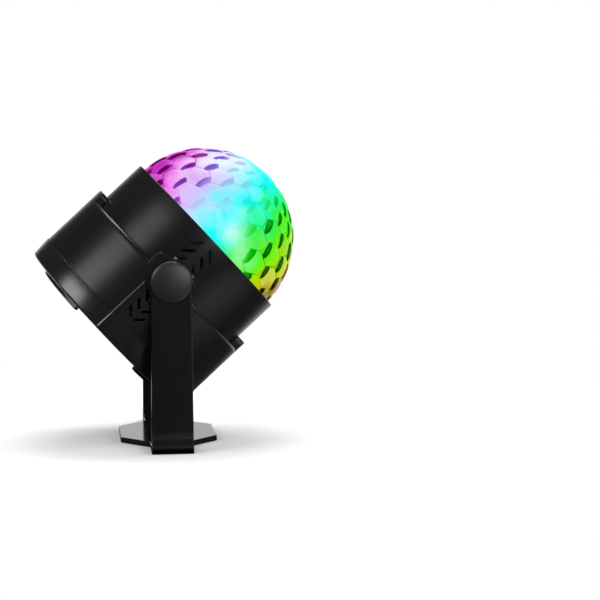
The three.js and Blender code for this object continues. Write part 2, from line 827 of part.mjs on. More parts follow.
// The heat sink and the light board are discs with the same screw holes
function lightDisc(low, high) {
  const [holeLow, holeHigh] = [low - cutOverrun, high + cutOverrun];
  const holes = screwHoles(lightScrewAngles, lightScrewCircle, smallPilot, holeLow, holeHigh);
  const disc = solid(tube(shaftHole, sinkRadius, low, high, bossSegments));
  return holes.reduce((rest, hole) => rest.subtract(hole), disc);
}

function lamp(angle) {
  const base = boardTop + seatGap;
  const top = base + lampBaseHeight;
  const [x, y] = onCircle(lampCircle, angle);
  const lens = arc(0, top, lampLensRadius, 0, 90);
  const body = turned([[0, base], [lampBaseRadius, base], [lampBaseRadius, top], ...lens], pinSegments);
  return solid(body.translate(x, y, 0));
}

function irReceiver() {
  const base = boardTop + seatGap;
  const [x, y] = onCircle(lampCircle, receiverAngle);
  const crown = arc(0, base + receiverHeight - receiverRadius, receiverRadius, 0, 90);
  return solid(turned([[0, base], [receiverRadius, base], ...crown], pinSegments).translate(x, y, 0));
}

// Motor, gearbox and shaft

function gearbox() {
  let box = solid(bar(gearboxRadius, gearboxTop - gearboxHeight, gearboxTop, bossSegments));
  const halfEar = gearboxEarWidth / 2;
  const earLow = gearboxTop - gearboxEarThickness;
  box = box.add(solid(block([-halfEar, -gearboxEarReach, earLow], [halfEar, gearboxEarReach, gearboxTop])));
  const high = gearboxTop + cutOverrun;
  const holes = [
    solid(bar(shaftHole, gearboxTop - gearboxSocketDepth, high)),
    ...screwHoles(gearboxScrewAngles, gearboxScrewCircle, smallPilot, earLow - cutOverrun, high),
  ];
  for (const cut of holes) box = box.subtract(cut);
  return box;
}

function motor() {
  const low = motorTop - motorLength;
  return solid(turned([
    [0, low - motorCollarLength],
    [motorCollarRadius, low - motorCollarLength],
    [motorCollarRadius, low],
    [motorRadius - motorRound, low],
    [motorRadius, low + motorRound],
    [motorRadius, motorTop],
    [0, motorTop],
  ], pinSegments));
}

const shaftBottom = gearboxTop - gearboxSocketDepth + seatGap;
const hubTop = carrierBottom + hubHeight;
const shaftTop = hubTop - seatGap;

function driveShaft() {
  const rod = solid(bar(shaftRadius, shaftBottom, shaftTop));
  const high = shaftTop + cutOverrun;
  const flat = block([shaftFlat, -shaftRadius, carrierBottom], [shaftRadius * 2, shaftRadius, high]);
  const pilotLow = hubTop - domeScrewLength;
  const pilot = bar(domeScrewRadius + seatGap, pilotLow, high, screwSegments);
  return rod.subtract(solid(flat)).subtract(solid(pilot));
}

// Control board and what stands on it

function controlBoard() {
  const low = controlBottom - cutOverrun;
  const high = controlTop + cutOverrun;
  const inner = motorCollarRadius + runGap;
  const board = solid(tube(inner, controlRadius, controlBottom, controlTop, bossSegments));
  const holes = screwHoles(postAngles, postCircle, smallPilot, low, high);
  return holes.reduce((rest, hole) => rest.subtract(hole), board);
}

const microphone = () => solid(
  bar(micRadius, controlBottom - seatGap - micLength, controlBottom - seatGap).translate(-micOffset, 0, 0),
);

function controlChip() {
  const base = controlTop + seatGap;
  const chip = new THREE.BoxGeometry(chipLength, chipWidth, chipHeight);
  return solid(chip.translate(0, chipInset - controlRadius, base + chipHeight / 2));
}

function capacitor() {
  const base = controlTop + seatGap;
  const can = bar(capacitorRadius, base, base + capacitorLength);
  return solid(can.translate(0, controlRadius - capacitorInset, 0));
}

// The inlet's socket opens to the rear, round a contact pin
function powerInlet() {
  const mouth = rearFace + seatGap;
  const flangeLow = rearInner + seatGap;
  const floor = mouth + inletDepth;
  return solid(turned([
    [0, mouth + inletPinRecess],
    [inletPin, mouth + inletPinRecess],
    [inletPin, floor],
    [inletBore, floor],
    [inletBore, mouth],
    [inletRadius, mouth],
    [inletRadius, flangeLow],
    [inletFlange, flangeLow],
    [inletFlange, flangeLow + inletFlangeThickness],
    [inletRadius, flangeLow + inletFlangeThickness],
    [inletRadius, controlBottom - seatGap],
    [0, controlBottom - seatGap],
  ], pinSegments).translate(inletOffset, 0, 0));
}

// Dome

const halfLens = 360 / (2 * lensesPerRing); // degrees of azimuth between neighbouring corners
const stepsPerCrownLens = (2 * lensesPerRing) / lensesPerCrownRing;

// A point of the dome at a radius, a polar angle and a whole number of half lenses round
function domePoint(radius, polar, step) {
  const azimuth = radians(THREE.MathUtils.euclideanModulo(step, 2 * lensesPerRing) * halfLens);
  const ring = radius * Math.sin(radians(polar));
  const level = radius * Math.cos(radians(polar));
  return new THREE.Vector3(ring * Math.cos(azimuth), ring * Math.sin(azimuth), level);
}

// Polar angle of a corner on the edge above a ring: it rises at the middle of that ring's lenses
function edgePolar(edge, step) {
  const polar = firstRingPolar + edge * ringStep;
  if (polar >= rimPolar) return rimPolar;
  if ((step - edge) % 2 !== 0) return polar + zigzag;
  const underCrownLens = edge === 0 && step % stepsPerCrownLens !== 0;
  return underCrownLens ? polar : polar - zigzag;
}

// The corners of every lens, as [polar, step] pairs in order round it
function lensOutlines() {
  const outlines = [];
  const crownSteps = Array.from({ length: lensesPerCrownRing }, (unused, i) => i * stepsPerCrownLens);
  outlines.push(crownSteps.map((step) => [crownPolar, step]));
  for (const step of crownSteps) {
    const lowerSteps = Array.from({ length: stepsPerCrownLens + 1 }, (unused, i) => step + i);
    const lower = lowerSteps.map((at) => [edgePolar(0, at), at]);
    outlines.push([[crownPolar, step], ...lower, [crownPolar, step + stepsPerCrownLens]]);
  }
  for (let ring = 0; ring < lensRings; ring += 1) {
    for (let lens = 0; lens < lensesPerRing; lens += 1) {
      const middle = 2 * lens + (ring % 2);
      const upper = [-1, 0, 1].map((offset) => [edgePolar(ring, middle + offset), middle + offset]);
      const lower = [1, 0, -1].map((offset) => [edgePolar(ring + 1, middle + offset), middle + offset]);
      outlines.push([...upper, ...lower]);
    }
  }
  return outlines;
}

// Collects triangles, each turned to face the way asked
class Skin {
  constructor() {
    this.corners = [];
  }

  facet(a, b, c, outward) {
    const normal = b.clone().sub(a).cross(c.clone().sub(a));
    const ordered = normal.dot(outward) > 0 ? [a, b, c] : [a, c, b];
    this.corners.push(...ordered);
  }

  quad(a, b, c, d, outward) {
    this.facet(a, b, c, outward);
    this.facet(a, c, d, outward);
  }

  fan([first, ...rest], outward) {
    rest.slice(1).forEach((corner, i) => this.facet(first, rest[i], corner, outward));
  }

  geometry() {
    return new THREE.BufferGeometry().setFromPoints(this.corners);
  }
}

// One lens: a bevel rises from its corners in the grooves to a smaller flat top, plain inside
function addLens(skin, outline) {
  const corners = outline.map(([polar, step]) => domePoint(domeGroove, polar, step));
  const middle = new THREE.Vector3();
  for (const corner of corners) middle.add(corner);
  middle.setLength(domeGroove);
  const top = corners.map((corner) => middle.clone().lerp(corner, lensTopShare).setLength(domeCrown));
  const within = outline.map(([polar, step]) => domePoint(domeInner, polar, step));
  corners.forEach((corner, i) => {
    const next = (i + 1) % corners.length;
    skin.quad(corner, corners[next], top[next], top[i], middle);
  });
  skin.fan(top, middle);
  skin.fan(within, middle.clone().negate());
}

function domeShell() {
  const skin = new Skin();
  for (const outline of lensOutlines()) addLens(skin, outline);
  const down = new THREE.Vector3(0, 0, -domeSkirt);
  for (let step = 0; step < 2 * lensesPerRing; step += 1) {
    const [outer, outerNext] = [step, step + 1].map((at) => domePoint(domeGroove, rimPolar, at));
    const [inner, innerNext] = [step, step + 1].map((at) => domePoint(domeInner, rimPolar, at));
    const [outerLow, outerNextLow] = [outer, outerNext].map((point) => point.clone().add(down));
    const [innerLow, innerNextLow] = [inner, innerNext].map((point) => point.clone().add(down));
    skin.quad(outer, outerNext, outerNextLow, outerLow, outer);
    skin.quad(inner, innerNext, innerNextLow, innerLow, inner.clone().negate());
    skin.quad(outerLow, outerNextLow, innerNextLow, innerLow, down);
  }
  return solid(skin.geometry().translate(0, 0, domeCentre));
}

function domeCarrier() {
  const ringOuter = domeInner * Math.cos(Math.PI / (2 * lensesPerRing)) - seatGap;
  const ringInner = ringOuter - carrierRingWidth;
  const ringTop = carrierBottom + carrierHeight;
  let carrier = solid(tube(ringInner, ringOuter, carrierBottom, ringTop, bossSegments));
  carrier = carrier.add(solid(bar(hubRadius, carrierBottom, hubTop, pinSegments)));
  for (let i = 0; i < spokeCount; i += 1) {
    const reach = ringInner + carrierRingWidth / 2;
    const half = spokeWidth / 2;
    const spoke = block([0, -half, carrierBottom], [reach, half, carrierBottom + spokeHeight]);
    carrier = carrier.add(solid(spoke.rotateZ((2 * Math.PI * i) / spokeCount)));
  }
  const bore = solid(bar(shaftHole, carrierBottom - cutOverrun, hubTop + cutOverrun));
  const flatSide = shaftFlat + runGap;
  const reach = shaftRadius * 2;
  const low = carrierBottom - cutOverrun;
  const key = solid(block([flatSide, -reach, low], [reach, reach, hubTop + cutOverrun]));
  return carrier.subtract(bore.subtract(key));
}

function carrierScrew() {
  const shape = screw({
    radius: domeScrewRadius,
    length: domeScrewLength,
    headRadius: domeScrewHeadRadius,
    headHeight: domeScrewHeadHeight,
  });
  return solid(shape.rotateX(Math.PI).translate(0, 0, hubTop + seatGap));
}

// The yoke, with the pivot pieces that stay with it

function yoke() {
  const group = new THREE.Group();
  group.add(piece("yoke_bracket", yokeBracket(), blackGloss));
  for (const [name, side] of sides) {
    const pivot = new THREE.Group();
    pivot.position.z = pivotHeight;
    pivot.rotation.x = (-side * Math.PI) / 2;
    pivot.add(
      piece(`pivot_trunnion_${name}`, trunnion(), whitePlastic),
      piece(`pivot_screw_${name}`, pivotScrew(), zincSteel),
      piece(`friction_washer_${name}`, frictionWasher(), blackRubber),
      piece(`pivot_cap_${name}`, pivotCap(), blackPlastic),
    );
    group.add(pivot);
  }
  return group;
}

// The head, made along +Z and tilted by its group

function head() {
  const group = new THREE.Group();
  group.position.z = pivotHeight;
  group.rotation.y = radians(90 - headElevation);
  group.add(
    piece("front_housing", frontHousing(), blackPlastic),
    piece("rear_housing", rearHousing(), blackPlastic),
    piece("rear_cover", rearCover(), blackPlastic),
    piece("power_inlet", powerInlet(), blackGloss),
    piece("lamp_deck", deckPlate(), whitePlastic),
    piece("heat_sink", lightDisc(sinkBottom, sinkBottom + sinkThickness), bareAluminium),
    piece("light_board", lightDisc(boardBottom, boardTop), whiteBoard),
    piece("ir_receiver", irReceiver(), blackGloss),
    piece("gearbox", gearbox(), whitePlastic),
    piece("drive_motor", motor(), zincSteel),
    piece("control_board", controlBoard(), greenBoard),
    piece("microphone", microphone(), bareAluminium),
    piece("control_chip", controlChip(), blackPlastic),
    piece("capacitor", capacitor(), blackGloss),
  );
  ["lamp_red", "lamp_green", "lamp_blue"].forEach((name, i) => {
    group.add(piece(name, lamp(lampAngles[i]), clearPlastic));
  });
  group.add(
    ...screwsOnCircle("cover_screw", caseScrew, {
      angles: fourAngles(coverScrewAngle),
      circle: caseScrewCircle,
      seat: coverScrewSeat,
      turn: fromRear,
    }),
    ...screwsOnCircle("housing_screw", caseScrew, {
      angles: fourAngles(housingScrewAngle),
      circle: caseScrewCircle,
      seat: lugBottom - seatGap,
      turn: fromRear,
    }),
    ...screwsOnCircle("deck_screw", smallScrew, {
      angles: deckScrewAngles,
      circle: deckScrewCircle,
      seat: deckTop + seatGap,
      turn: fromFront,
    }),
    ...screwsOnCircle("light_screw", smallScrew, {
      angles: lightScrewAngles,
      circle: lightScrewCircle,
      seat: boardTop + seatGap,
      turn: fromFront,
    }),
    ...screwsOnCircle("gearbox_screw", smallScrew, {
      angles: gearboxScrewAngles,
      circle: gearboxScrewCircle,
      seat: gearboxTop - gearboxEarThickness - seatGap,
      turn: fromRear,
    }),
    ...screwsOnCircle("control_screw", smallScrew, {
      angles: postAngles,
      circle: postCircle,
      seat: controlTop + seatGap,
      turn: fromFront,
    }),
  );
  group.add(
    piece("dome", domeShell(), clearPlastic),
    piece("dome_carrier", domeCarrier(), whitePlastic),
    piece("drive_shaft", driveShaft(), zincSteel),
    piece("carrier_screw", carrierScrew(), zincSteel),
  );
  return group;
}

const discoLight = new THREE.Group();
discoLight.add(yoke(), head());

export default discoLight;
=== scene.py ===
import math

import bmesh
import bpy
import numpy as np
from mathutils import Matrix


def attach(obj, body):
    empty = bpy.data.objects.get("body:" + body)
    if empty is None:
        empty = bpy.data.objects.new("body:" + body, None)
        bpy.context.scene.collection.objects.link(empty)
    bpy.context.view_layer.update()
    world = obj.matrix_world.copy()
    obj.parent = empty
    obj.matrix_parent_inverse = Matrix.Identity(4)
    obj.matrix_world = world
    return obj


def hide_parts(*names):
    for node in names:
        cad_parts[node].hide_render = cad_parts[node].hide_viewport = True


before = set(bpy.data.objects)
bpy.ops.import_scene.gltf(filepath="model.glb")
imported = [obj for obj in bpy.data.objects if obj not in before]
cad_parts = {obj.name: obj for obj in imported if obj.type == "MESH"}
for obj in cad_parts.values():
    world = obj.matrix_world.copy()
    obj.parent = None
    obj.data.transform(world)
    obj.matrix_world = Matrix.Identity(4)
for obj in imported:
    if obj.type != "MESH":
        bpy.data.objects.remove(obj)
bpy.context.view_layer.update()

# Disco ball light. Lengths are in millimetres until a piece is put in its place, in metres.
# The head's own frame has its axis along +Z, from the pivot at 0 towards the dome.
headPlace = {"pivotHeight": 71.8, "elevation": 42.6}
headTilt = math.radians(90 - headPlace["elevation"])


def toYoke(points):
    # The yoke stands in the part's own frame, so only the unit changes.
    return np.asarray(points, dtype=float) / 1000


def toHead(points):
    # Turned about Y until the axis stands at its elevation, then raised to the pivot.
    x, y, z = np.moveaxis(np.asarray(points, dtype=float), -1, 0)
    along = x * math.cos(headTilt) + z * math.sin(headTilt)
    up = z * math.cos(headTilt) - x * math.sin(headTilt) + headPlace["pivotHeight"]
    return np.stack([along, y, up], axis=-1) / 1000


def gridFaces(rows, columns, closedRows=False, closedColumns=False):
    # Corner numbers of the quads between neighbouring points of a grid.
    i = np.arange(rows if closedRows else rows - 1)[:, None]
    j = np.arange(columns if closedColumns else columns - 1)[None, :]
    below = (i + 1) % rows
    beside = (j + 1) % columns
    corners = [i * columns + j, i * columns + beside, below * columns + beside, below * columns + j]
    return np.stack(corners, axis=-1).reshape(-1, 4)


def joined(shapes):
    # Several (points, faces) shapes as one, each a closed body of its own.
    points, faces, start = [], [], 0
    for shapePoints, shapeFaces in shapes:
        points.append(shapePoints)
        faces.append(shapeFaces + start)
        start += len(shapePoints)
    return np.concatenate(points), np.concatenate(faces)


def turned(radius, angle, height):
    # Points from a radius, an angle and a height: x = r cos a, y = r sin a.
    radius, angle, height = np.broadcast_arrays(radius, angle, height)
    return np.stack([radius * np.cos(angle), radius * np.sin(angle), height], axis=-1)


def lathe(profile, segments=160, closed=True):
    # Radius and height of the profile, carried round the axis.
    radius, height = np.asarray(profile, dtype=float).T
    angle = np.linspace(0, 2 * math.pi, segments, endpoint=False)
    points = turned(radius[:, None], angle, height[:, None]).reshape(-1, 3)
    return points, gridFaces(len(radius), segments, closedRows=closed, closedColumns=True)


def zBar(radius, low, high, x=0.0, y=0.0, segments=48):
    # A closed round bar along Z.
    points, faces = lathe([[0, low], [radius, low], [radius, high], [0, high]], segments, closed=False)
    return points + [x, y, 0], faces


def onSide(shape, side, up=0.0):
    # A shape made along Z, laid along the tilt axis on one side: -1 is near, 1 is far.
    points, faces = shape
    x, y, z = points.T
    return np.stack([x, side * z, y + up], axis=-1), faces


def slab(outer, inner):
    # Two grids of the same size, front and back, with four border strips between them.
    rows, columns = outer.shape[:2]
    points = np.concatenate([outer.reshape(-1, 3), inner.reshape(-1, 3)])
    front = gridFaces(rows, columns)
    index = np.arange(rows * columns).reshape(rows, columns)
    border = np.concatenate([index[0, :-1], index[:-1, -1], index[-1, :0:-1], index[:0:-1, 0]])
    ahead = np.roll(border, -1)
    behind = rows * columns
    strip = np.stack([border, border + behind, ahead + behind, ahead], axis=-1)
    return points, np.concatenate([front, front[:, ::-1] + behind, strip])


def arc(centre, radius, start, end, steps=6):
    # Points on a circle: centre + radius (cos a, sin a), for a from start to end in degrees.
    angle = np.radians(np.linspace(start, end, steps + 1))
    return np.stack([centre[0] + radius * np.cos(angle), centre[1] + radius * np.sin(angle)], axis=-1)


def eased(count, sharp=2.0):
    # Numbers from 0 to 1 that crowd towards both ends.
    t = np.linspace(-1, 1, count)
    return (np.tanh(sharp * t) / math.tanh(sharp) + 1) / 2


def roundDrop(distance, radius):
    # How far a rounded edge falls below its face at a distance from the edge: a quarter circle.
    inside = np.clip(distance, 0, radius)
    return radius - np.sqrt(radius ** 2 - (radius - inside) ** 2)


def outlineDistance(x, z, outline):
    # Shortest distance from each point to a polyline.
    start, end = outline[:-1], outline[1:]
    run = end - start
    to = np.stack([x, z], axis=-1)[..., None, :] - start
    part = np.clip((to * run).sum(-1) / (run ** 2).sum(-1), 0, 1)
    nearest = to - part[..., None] * run
    return np.sqrt((nearest ** 2).sum(-1)).min(axis=-1)


def newMesh(name, points, faces):
    mesh = bpy.data.meshes.new(name)
    mesh.from_pydata(points.tolist(), [], faces if isinstance(faces, list) else faces.tolist())
    return mesh


def newObject(name, data):
    made = bpy.data.objects.new(name, data)
    bpy.context.scene.collection.objects.link(made)
    return made


def cleaned(mesh, weld=2e-7, thin=1e-8, outwards=True):
    # Merges doubled points, takes out faces without area and turns the faces outwards.
    edit = bmesh.new()
    edit.from_mesh(mesh)
    bmesh.ops.remove_doubles(edit, verts=edit.verts, dist=weld)
    bmesh.ops.dissolve_degenerate(edit, edges=edit.edges, dist=thin)
    if outwards:
        bmesh.ops.recalc_face_normals(edit, faces=edit.faces)
    edit.to_mesh(mesh)
    edit.free()
    return mesh


def smoothed(mesh, angle=32):
    # Smooth shading, with sharp edges where faces meet at more than an angle.
    mesh.shade_smooth()
    mesh.set_sharp_from_angle(angle=math.radians(angle))


def makePiece(name, shape, replaced, material, body="head", smoothAngle=32, marks=()):
    # A piece of one body, in its place, with any values that its material reads from its corners.
    points, faces = shape
    mesh = newMesh(name, toYoke(points) if body == "yoke" else toHead(points), faces)
    for title, kind, field, values in marks:
        layer = mesh.attributes.new(title, kind, "CORNER")
        layer.data.foreach_set(field, values[faces.reshape(-1)].astype(np.float32).ravel())
    piece = newObject(name, cleaned(mesh))
    mesh.materials.append(materials[material])
    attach(piece, body)
    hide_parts(replaced)
    smoothed(mesh, smoothAngle)
    return piece


def makeTool(shape, place=toHead):
    # A closed cutting shape, in its place.
    return newObject("tool", cleaned(newMesh("tool", place(shape[0]), shape[1])))


def cutAway(piece, tools):
    # Takes the tools' shapes out of a piece, and the tools out of the scene.
    for tool in tools:
        cut = piece.modifiers.new("cut", "BOOLEAN")
        cut.operation = "DIFFERENCE"
        cut.solver = "EXACT"
        cut.object = tool
    bpy.context.view_layer.update()
    evaluated = piece.evaluated_get(bpy.context.evaluated_depsgraph_get())
    mesh = bpy.data.meshes.new_from_object(evaluated)
    piece.modifiers.clear()
    piece.data = mesh
    for tool in tools:
        bpy.data.objects.remove(tool, do_unlink=True)
    smoothed(mesh)


print("stage 1: tools ready")

# Materials: short ways to write nodes. An input is a number, a colour or another node's socket.


def setInputs(tree, node, inputs):
    # Links the sockets among the inputs and writes the others as constants.
    for name, value in inputs.items():
        if isinstance(value, bpy.types.NodeSocket):
            tree.links.new(value, node.inputs[name])
        else:
            node.inputs[name].default_value = value


def addNode(tree, kind, inputs=None, **settings):
    # A new node, from its kind's short name, its inputs and its settings.
    node = tree.nodes.new("ShaderNode" + kind)
    for name, value in settings.items():
        setattr(node, name, value)
    setInputs(tree, node, inputs or {})
    return node


def calculated(tree, operation, *values):
    return addNode(tree, "Math", dict(enumerate(values)), operation=operation).outputs[0]


def vectorWork(tree, operation, inputs, result="Vector"):
    return addNode(tree, "VectorMath", inputs, operation=operation).outputs[result]


def ranged(tree, value, low, high, toLow, toHigh, curve="LINEAR"):
    # A value carried from one range to another, and held at the ends.
    inputs = {"Value": value, "From Min": low, "From Max": high, "To Min": toLow, "To Max": toHigh}
    return addNode(tree, "MapRange", inputs, interpolation_type=curve).outputs["Result"]


def mixed(tree, factor, first, second, kind="RGBA"):
    # The first where the factor is 0 and the second where it is 1.
    return addNode(tree, "Mix", {"Factor": factor, "A": first, "B": second}, data_type=kind).outputs["Result"]


def newMaterial(name, inputs):
    # A material with one shader, and what is the same all over the surface set on its own sockets.
    material = bpy.data.materials.new(name)
    material.use_nodes = True
    shader = material.node_tree.nodes["Principled BSDF"]
    setInputs(material.node_tree, shader, inputs)
    return material, material.node_tree, shader


grainLook = {"detail": 3.0, "rough": 0.6, "cloudScale": 60.0, "cloudDetail": 4.0, "toneShare": 1.5}


def mouldGrainGroup():
    # Fine grain and slow unevenness of a moulded surface, from noise on object coordinates.
    group = bpy.data.node_groups.new("mouldGrain", "ShaderNodeTree")
    for name, value in (("Scale", 2500.0), ("Unevenness", 0.1), ("Roughness", 0.4)):
        socket = group.interface.new_socket(name=name, in_out="INPUT", socket_type="NodeSocketFloat")
        socket.default_value = value
    for name in ("Height", "Tone", "Roughness"):
        group.interface.new_socket(name=name, in_out="OUTPUT", socket_type="NodeSocketFloat")
    inlet = group.nodes.new("NodeGroupInput").outputs
    place = addNode(group, "TexCoord").outputs["Object"]
    look = grainLook
    fine = {"Vector": place, "Scale": inlet["Scale"], "Detail": look["detail"], "Roughness": look["rough"]}
    slow = {"Vector": place, "Scale": look["cloudScale"], "Detail": look["cloudDetail"]}
    grain = addNode(group, "TexNoise", fine)
    cloud = addNode(group, "TexNoise", slow)
    swing = calculated(group, "SUBTRACT", cloud.outputs["Fac"], 0.5)
    share = calculated(group, "MULTIPLY", swing, inlet["Unevenness"])
    setInputs(group, group.nodes.new("NodeGroupOutput"), {
        "Height": grain.outputs["Fac"],
        "Tone": calculated(group, "MULTIPLY_ADD", share, look["toneShare"], 1.0),
        "Roughness": calculated(group, "ADD", inlet["Roughness"], share),
    })
    return group


mouldGrain = mouldGrainGroup()

# Plastics and coatings: colour, roughness, specular level, the grain's scale, bump and unevenness.
finishes = {
    "housingPlastic": ((0.0030, 0.0030, 0.0031), 0.31, 0.50, 2600, 0.04, 0.10),
    "yokePlastic": ((0.0030, 0.0030, 0.0031), 0.24, 0.40, 2200, 0.04, 0.10),
    "capPlastic": ((0.0034, 0.0034, 0.0035), 0.40, 1.00, 2600, 0.04, 0.10),
    "coverPlastic": ((0.0030, 0.0030, 0.0031), 0.25, 0.85, 2600, 0.04, 0.06),
    "platePlastic": ((0.0060, 0.0060, 0.0062), 0.13, 0.42, 1800, 0.01, 0.06),
    "glossPlastic": ((0.006, 0.006, 0.0062), 0.16, 0.50, 1500, 0.01, 0.05),
    "innerPlastic": ((0.72, 0.72, 0.69), 0.45, 0.40, 2200, 0.04, 0.10),
    "washerRubber": ((0.010, 0.010, 0.010), 0.80, 0.30, 3000, 0.12, 0.15),
    "whiteBoard": ((0.74, 0.76, 0.74), 0.35, 0.50, 1200, 0.01, 0.06),
    "greenBoard": ((0.02, 0.11, 0.05), 0.35, 0.50, 1200, 0.02, 0.08),
    "lampLens": ((0.85, 0.9, 0.95), 0.10, 0.50, 900, 0.01, 0.05),
}

# Metals: colour, roughness, and how the streaks stretch along X, Y and Z.
metals = {
    "zincSteel": ((0.55, 0.56, 0.58), 0.32, (1, 1, 6)),
    "bareAluminium": ((0.60, 0.61, 0.63), 0.36, (1, 8, 1)),
}
streakLook = {"scale": 900.0, "detail": 3.0, "darkest": 0.82, "swing": 0.07}
bumpDepth = 0.0002


def plasticMaterial(name, colour, roughness, specular, scale, bump, uneven):
    # A moulded or coated surface: its colour and roughness wander a little with the grain.
    material, tree, shader = newMaterial(name, {"Specular IOR Level": specular})
    values = {"Scale": scale, "Unevenness": uneven, "Roughness": roughness}
    grain = addNode(tree, "Group", node_tree=mouldGrain)
    setInputs(tree, grain, values)
    relief = {"Strength": bump, "Distance": bumpDepth, "Height": grain.outputs["Height"]}
    setInputs(tree, shader, {
        "Base Color": vectorWork(tree, "SCALE", {0: colour, "Scale": grain.outputs["Tone"]}),
        "Roughness": grain.outputs["Roughness"],
        "Normal": addNode(tree, "Bump", relief).outputs["Normal"],
    })
    return material


def metalMaterial(name, colour, roughness, stretch):
    # Bare or plated metal: fine streaks along one direction vary its roughness and colour.
    material, tree, shader = newMaterial(name, {"Metallic": 1.0})
    place = addNode(tree, "TexCoord").outputs["Object"]
    spread = addNode(tree, "Mapping", {"Vector": place, "Scale": stretch}).outputs["Vector"]
    look = streakLook
    noise = {"Vector": spread, "Scale": look["scale"], "Detail": look["detail"]}
    streaks = addNode(tree, "TexNoise", noise).outputs["Fac"]
    darker = [look["darkest"] * part for part in colour]
    setInputs(tree, shader, {
        "Base Color": mixed(tree, streaks, (*darker, 1), (*colour, 1)),
        "Roughness": ranged(tree, streaks, 0.0, 1.0, roughness - look["swing"], roughness + look["swing"]),
    })
    return material


domeLook = {
    # Place across the dome as a share of its radius, from the side that leans up, and the colour of the
    # painted glow as it shows, 0 to 255.
    "colours": [
        (-1.00, (195, 40, 185)), (-0.90, (215, 65, 210)), (-0.77, (235, 120, 235)), (-0.63, (222, 185, 246)),
        (-0.45, (200, 200, 250)), (-0.32, (170, 230, 250)), (-0.17, (90, 245, 250)), (-0.03, (25, 250, 245)),
        (0.15, (40, 248, 185)), (0.30, (45, 243, 85)), (0.50, (95, 240, 25)), (0.68, (165, 225, 8)),
        (0.86, (200, 198, 6)), (1.00, (140, 120, 8)),
    ],
    "radius": 39.1, "centre": 22.95,
    "fan": (1.13, 0.86),  # how the colours spread at the rim and at the crown
    "wander": 0.12, "cloudScale": 85.0, "cloudSpan": (0.3, 0.7),
    # The colours of the painted glow's pale clouds and of the lamps' painted white glows
    "lightCloud": (0.85, 1.0, 1.0, 1), "glow": (0.90, 0.98, 1.0, 1),
    # From one value to another, and what each becomes: by the cloud, which pales the painted glow, by the
    # lens's tone and by the level, which is 0 in the middle of a lens and 1 in its groove, where shade is
    # painted
    "cloudy": (0.50, 0.72, 0.0, 0.10), "lighter": (0.55, 1.0, 0.0, 0.08), "deeper": (0.45, 0.0, 0.0, 0.28),
    "flat": (0.88, 0.70, 0.0, 1.0), "groove": (0.88, 1.0, 0.0, 1.0), "grooveDark": (0.0, 1.0, 0.07, 0.50),
    "grooveCloud": (0.58, 0.42, 0.15, 1.6),
    # The streaks of painted shade the same way: along the run of colours, outwards from a streak's middle, by
    # its strength
    "streakRun": (0.36, 0.50, 0.0, 1.0), "streakEdge": (0.95, 1.2, 1.0, 0.0),
    "streakSeen": (0.0, 0.5, 0.0, 1.0), "streakDark": (0.4, 1.0, 0.0, 1.0),
    "ragged": 0.18, "streakPlace": 0.8, "streakHalf": 0.1, "streakLine": 0.45, "streakCore": 0.72,
    "streakMiddle": (0.2, 1.0, 0.78, 0.15),
    # The share and the power of the colour: in deeper lenses, in the grooves' painted shade, and in the pale
    # and the dark part of a streak's painted shade
    "deeperColour": (0.9, 2.0), "grooveColour": (0.5, 2.0),
    "paleStreak": (0.8, 3.0), "darkStreak": (0.2, 4.5),
    "base": 0.03,  # the unlit plastic's share of the glowing colour
}


def linear(colour):
    # Displayed 0-255 values as light: ((c / 255 + 0.055) / 1.055)^2.4.
    return tuple(((value / 255 + 0.055) / 1.055) ** 2.4 for value in colour)


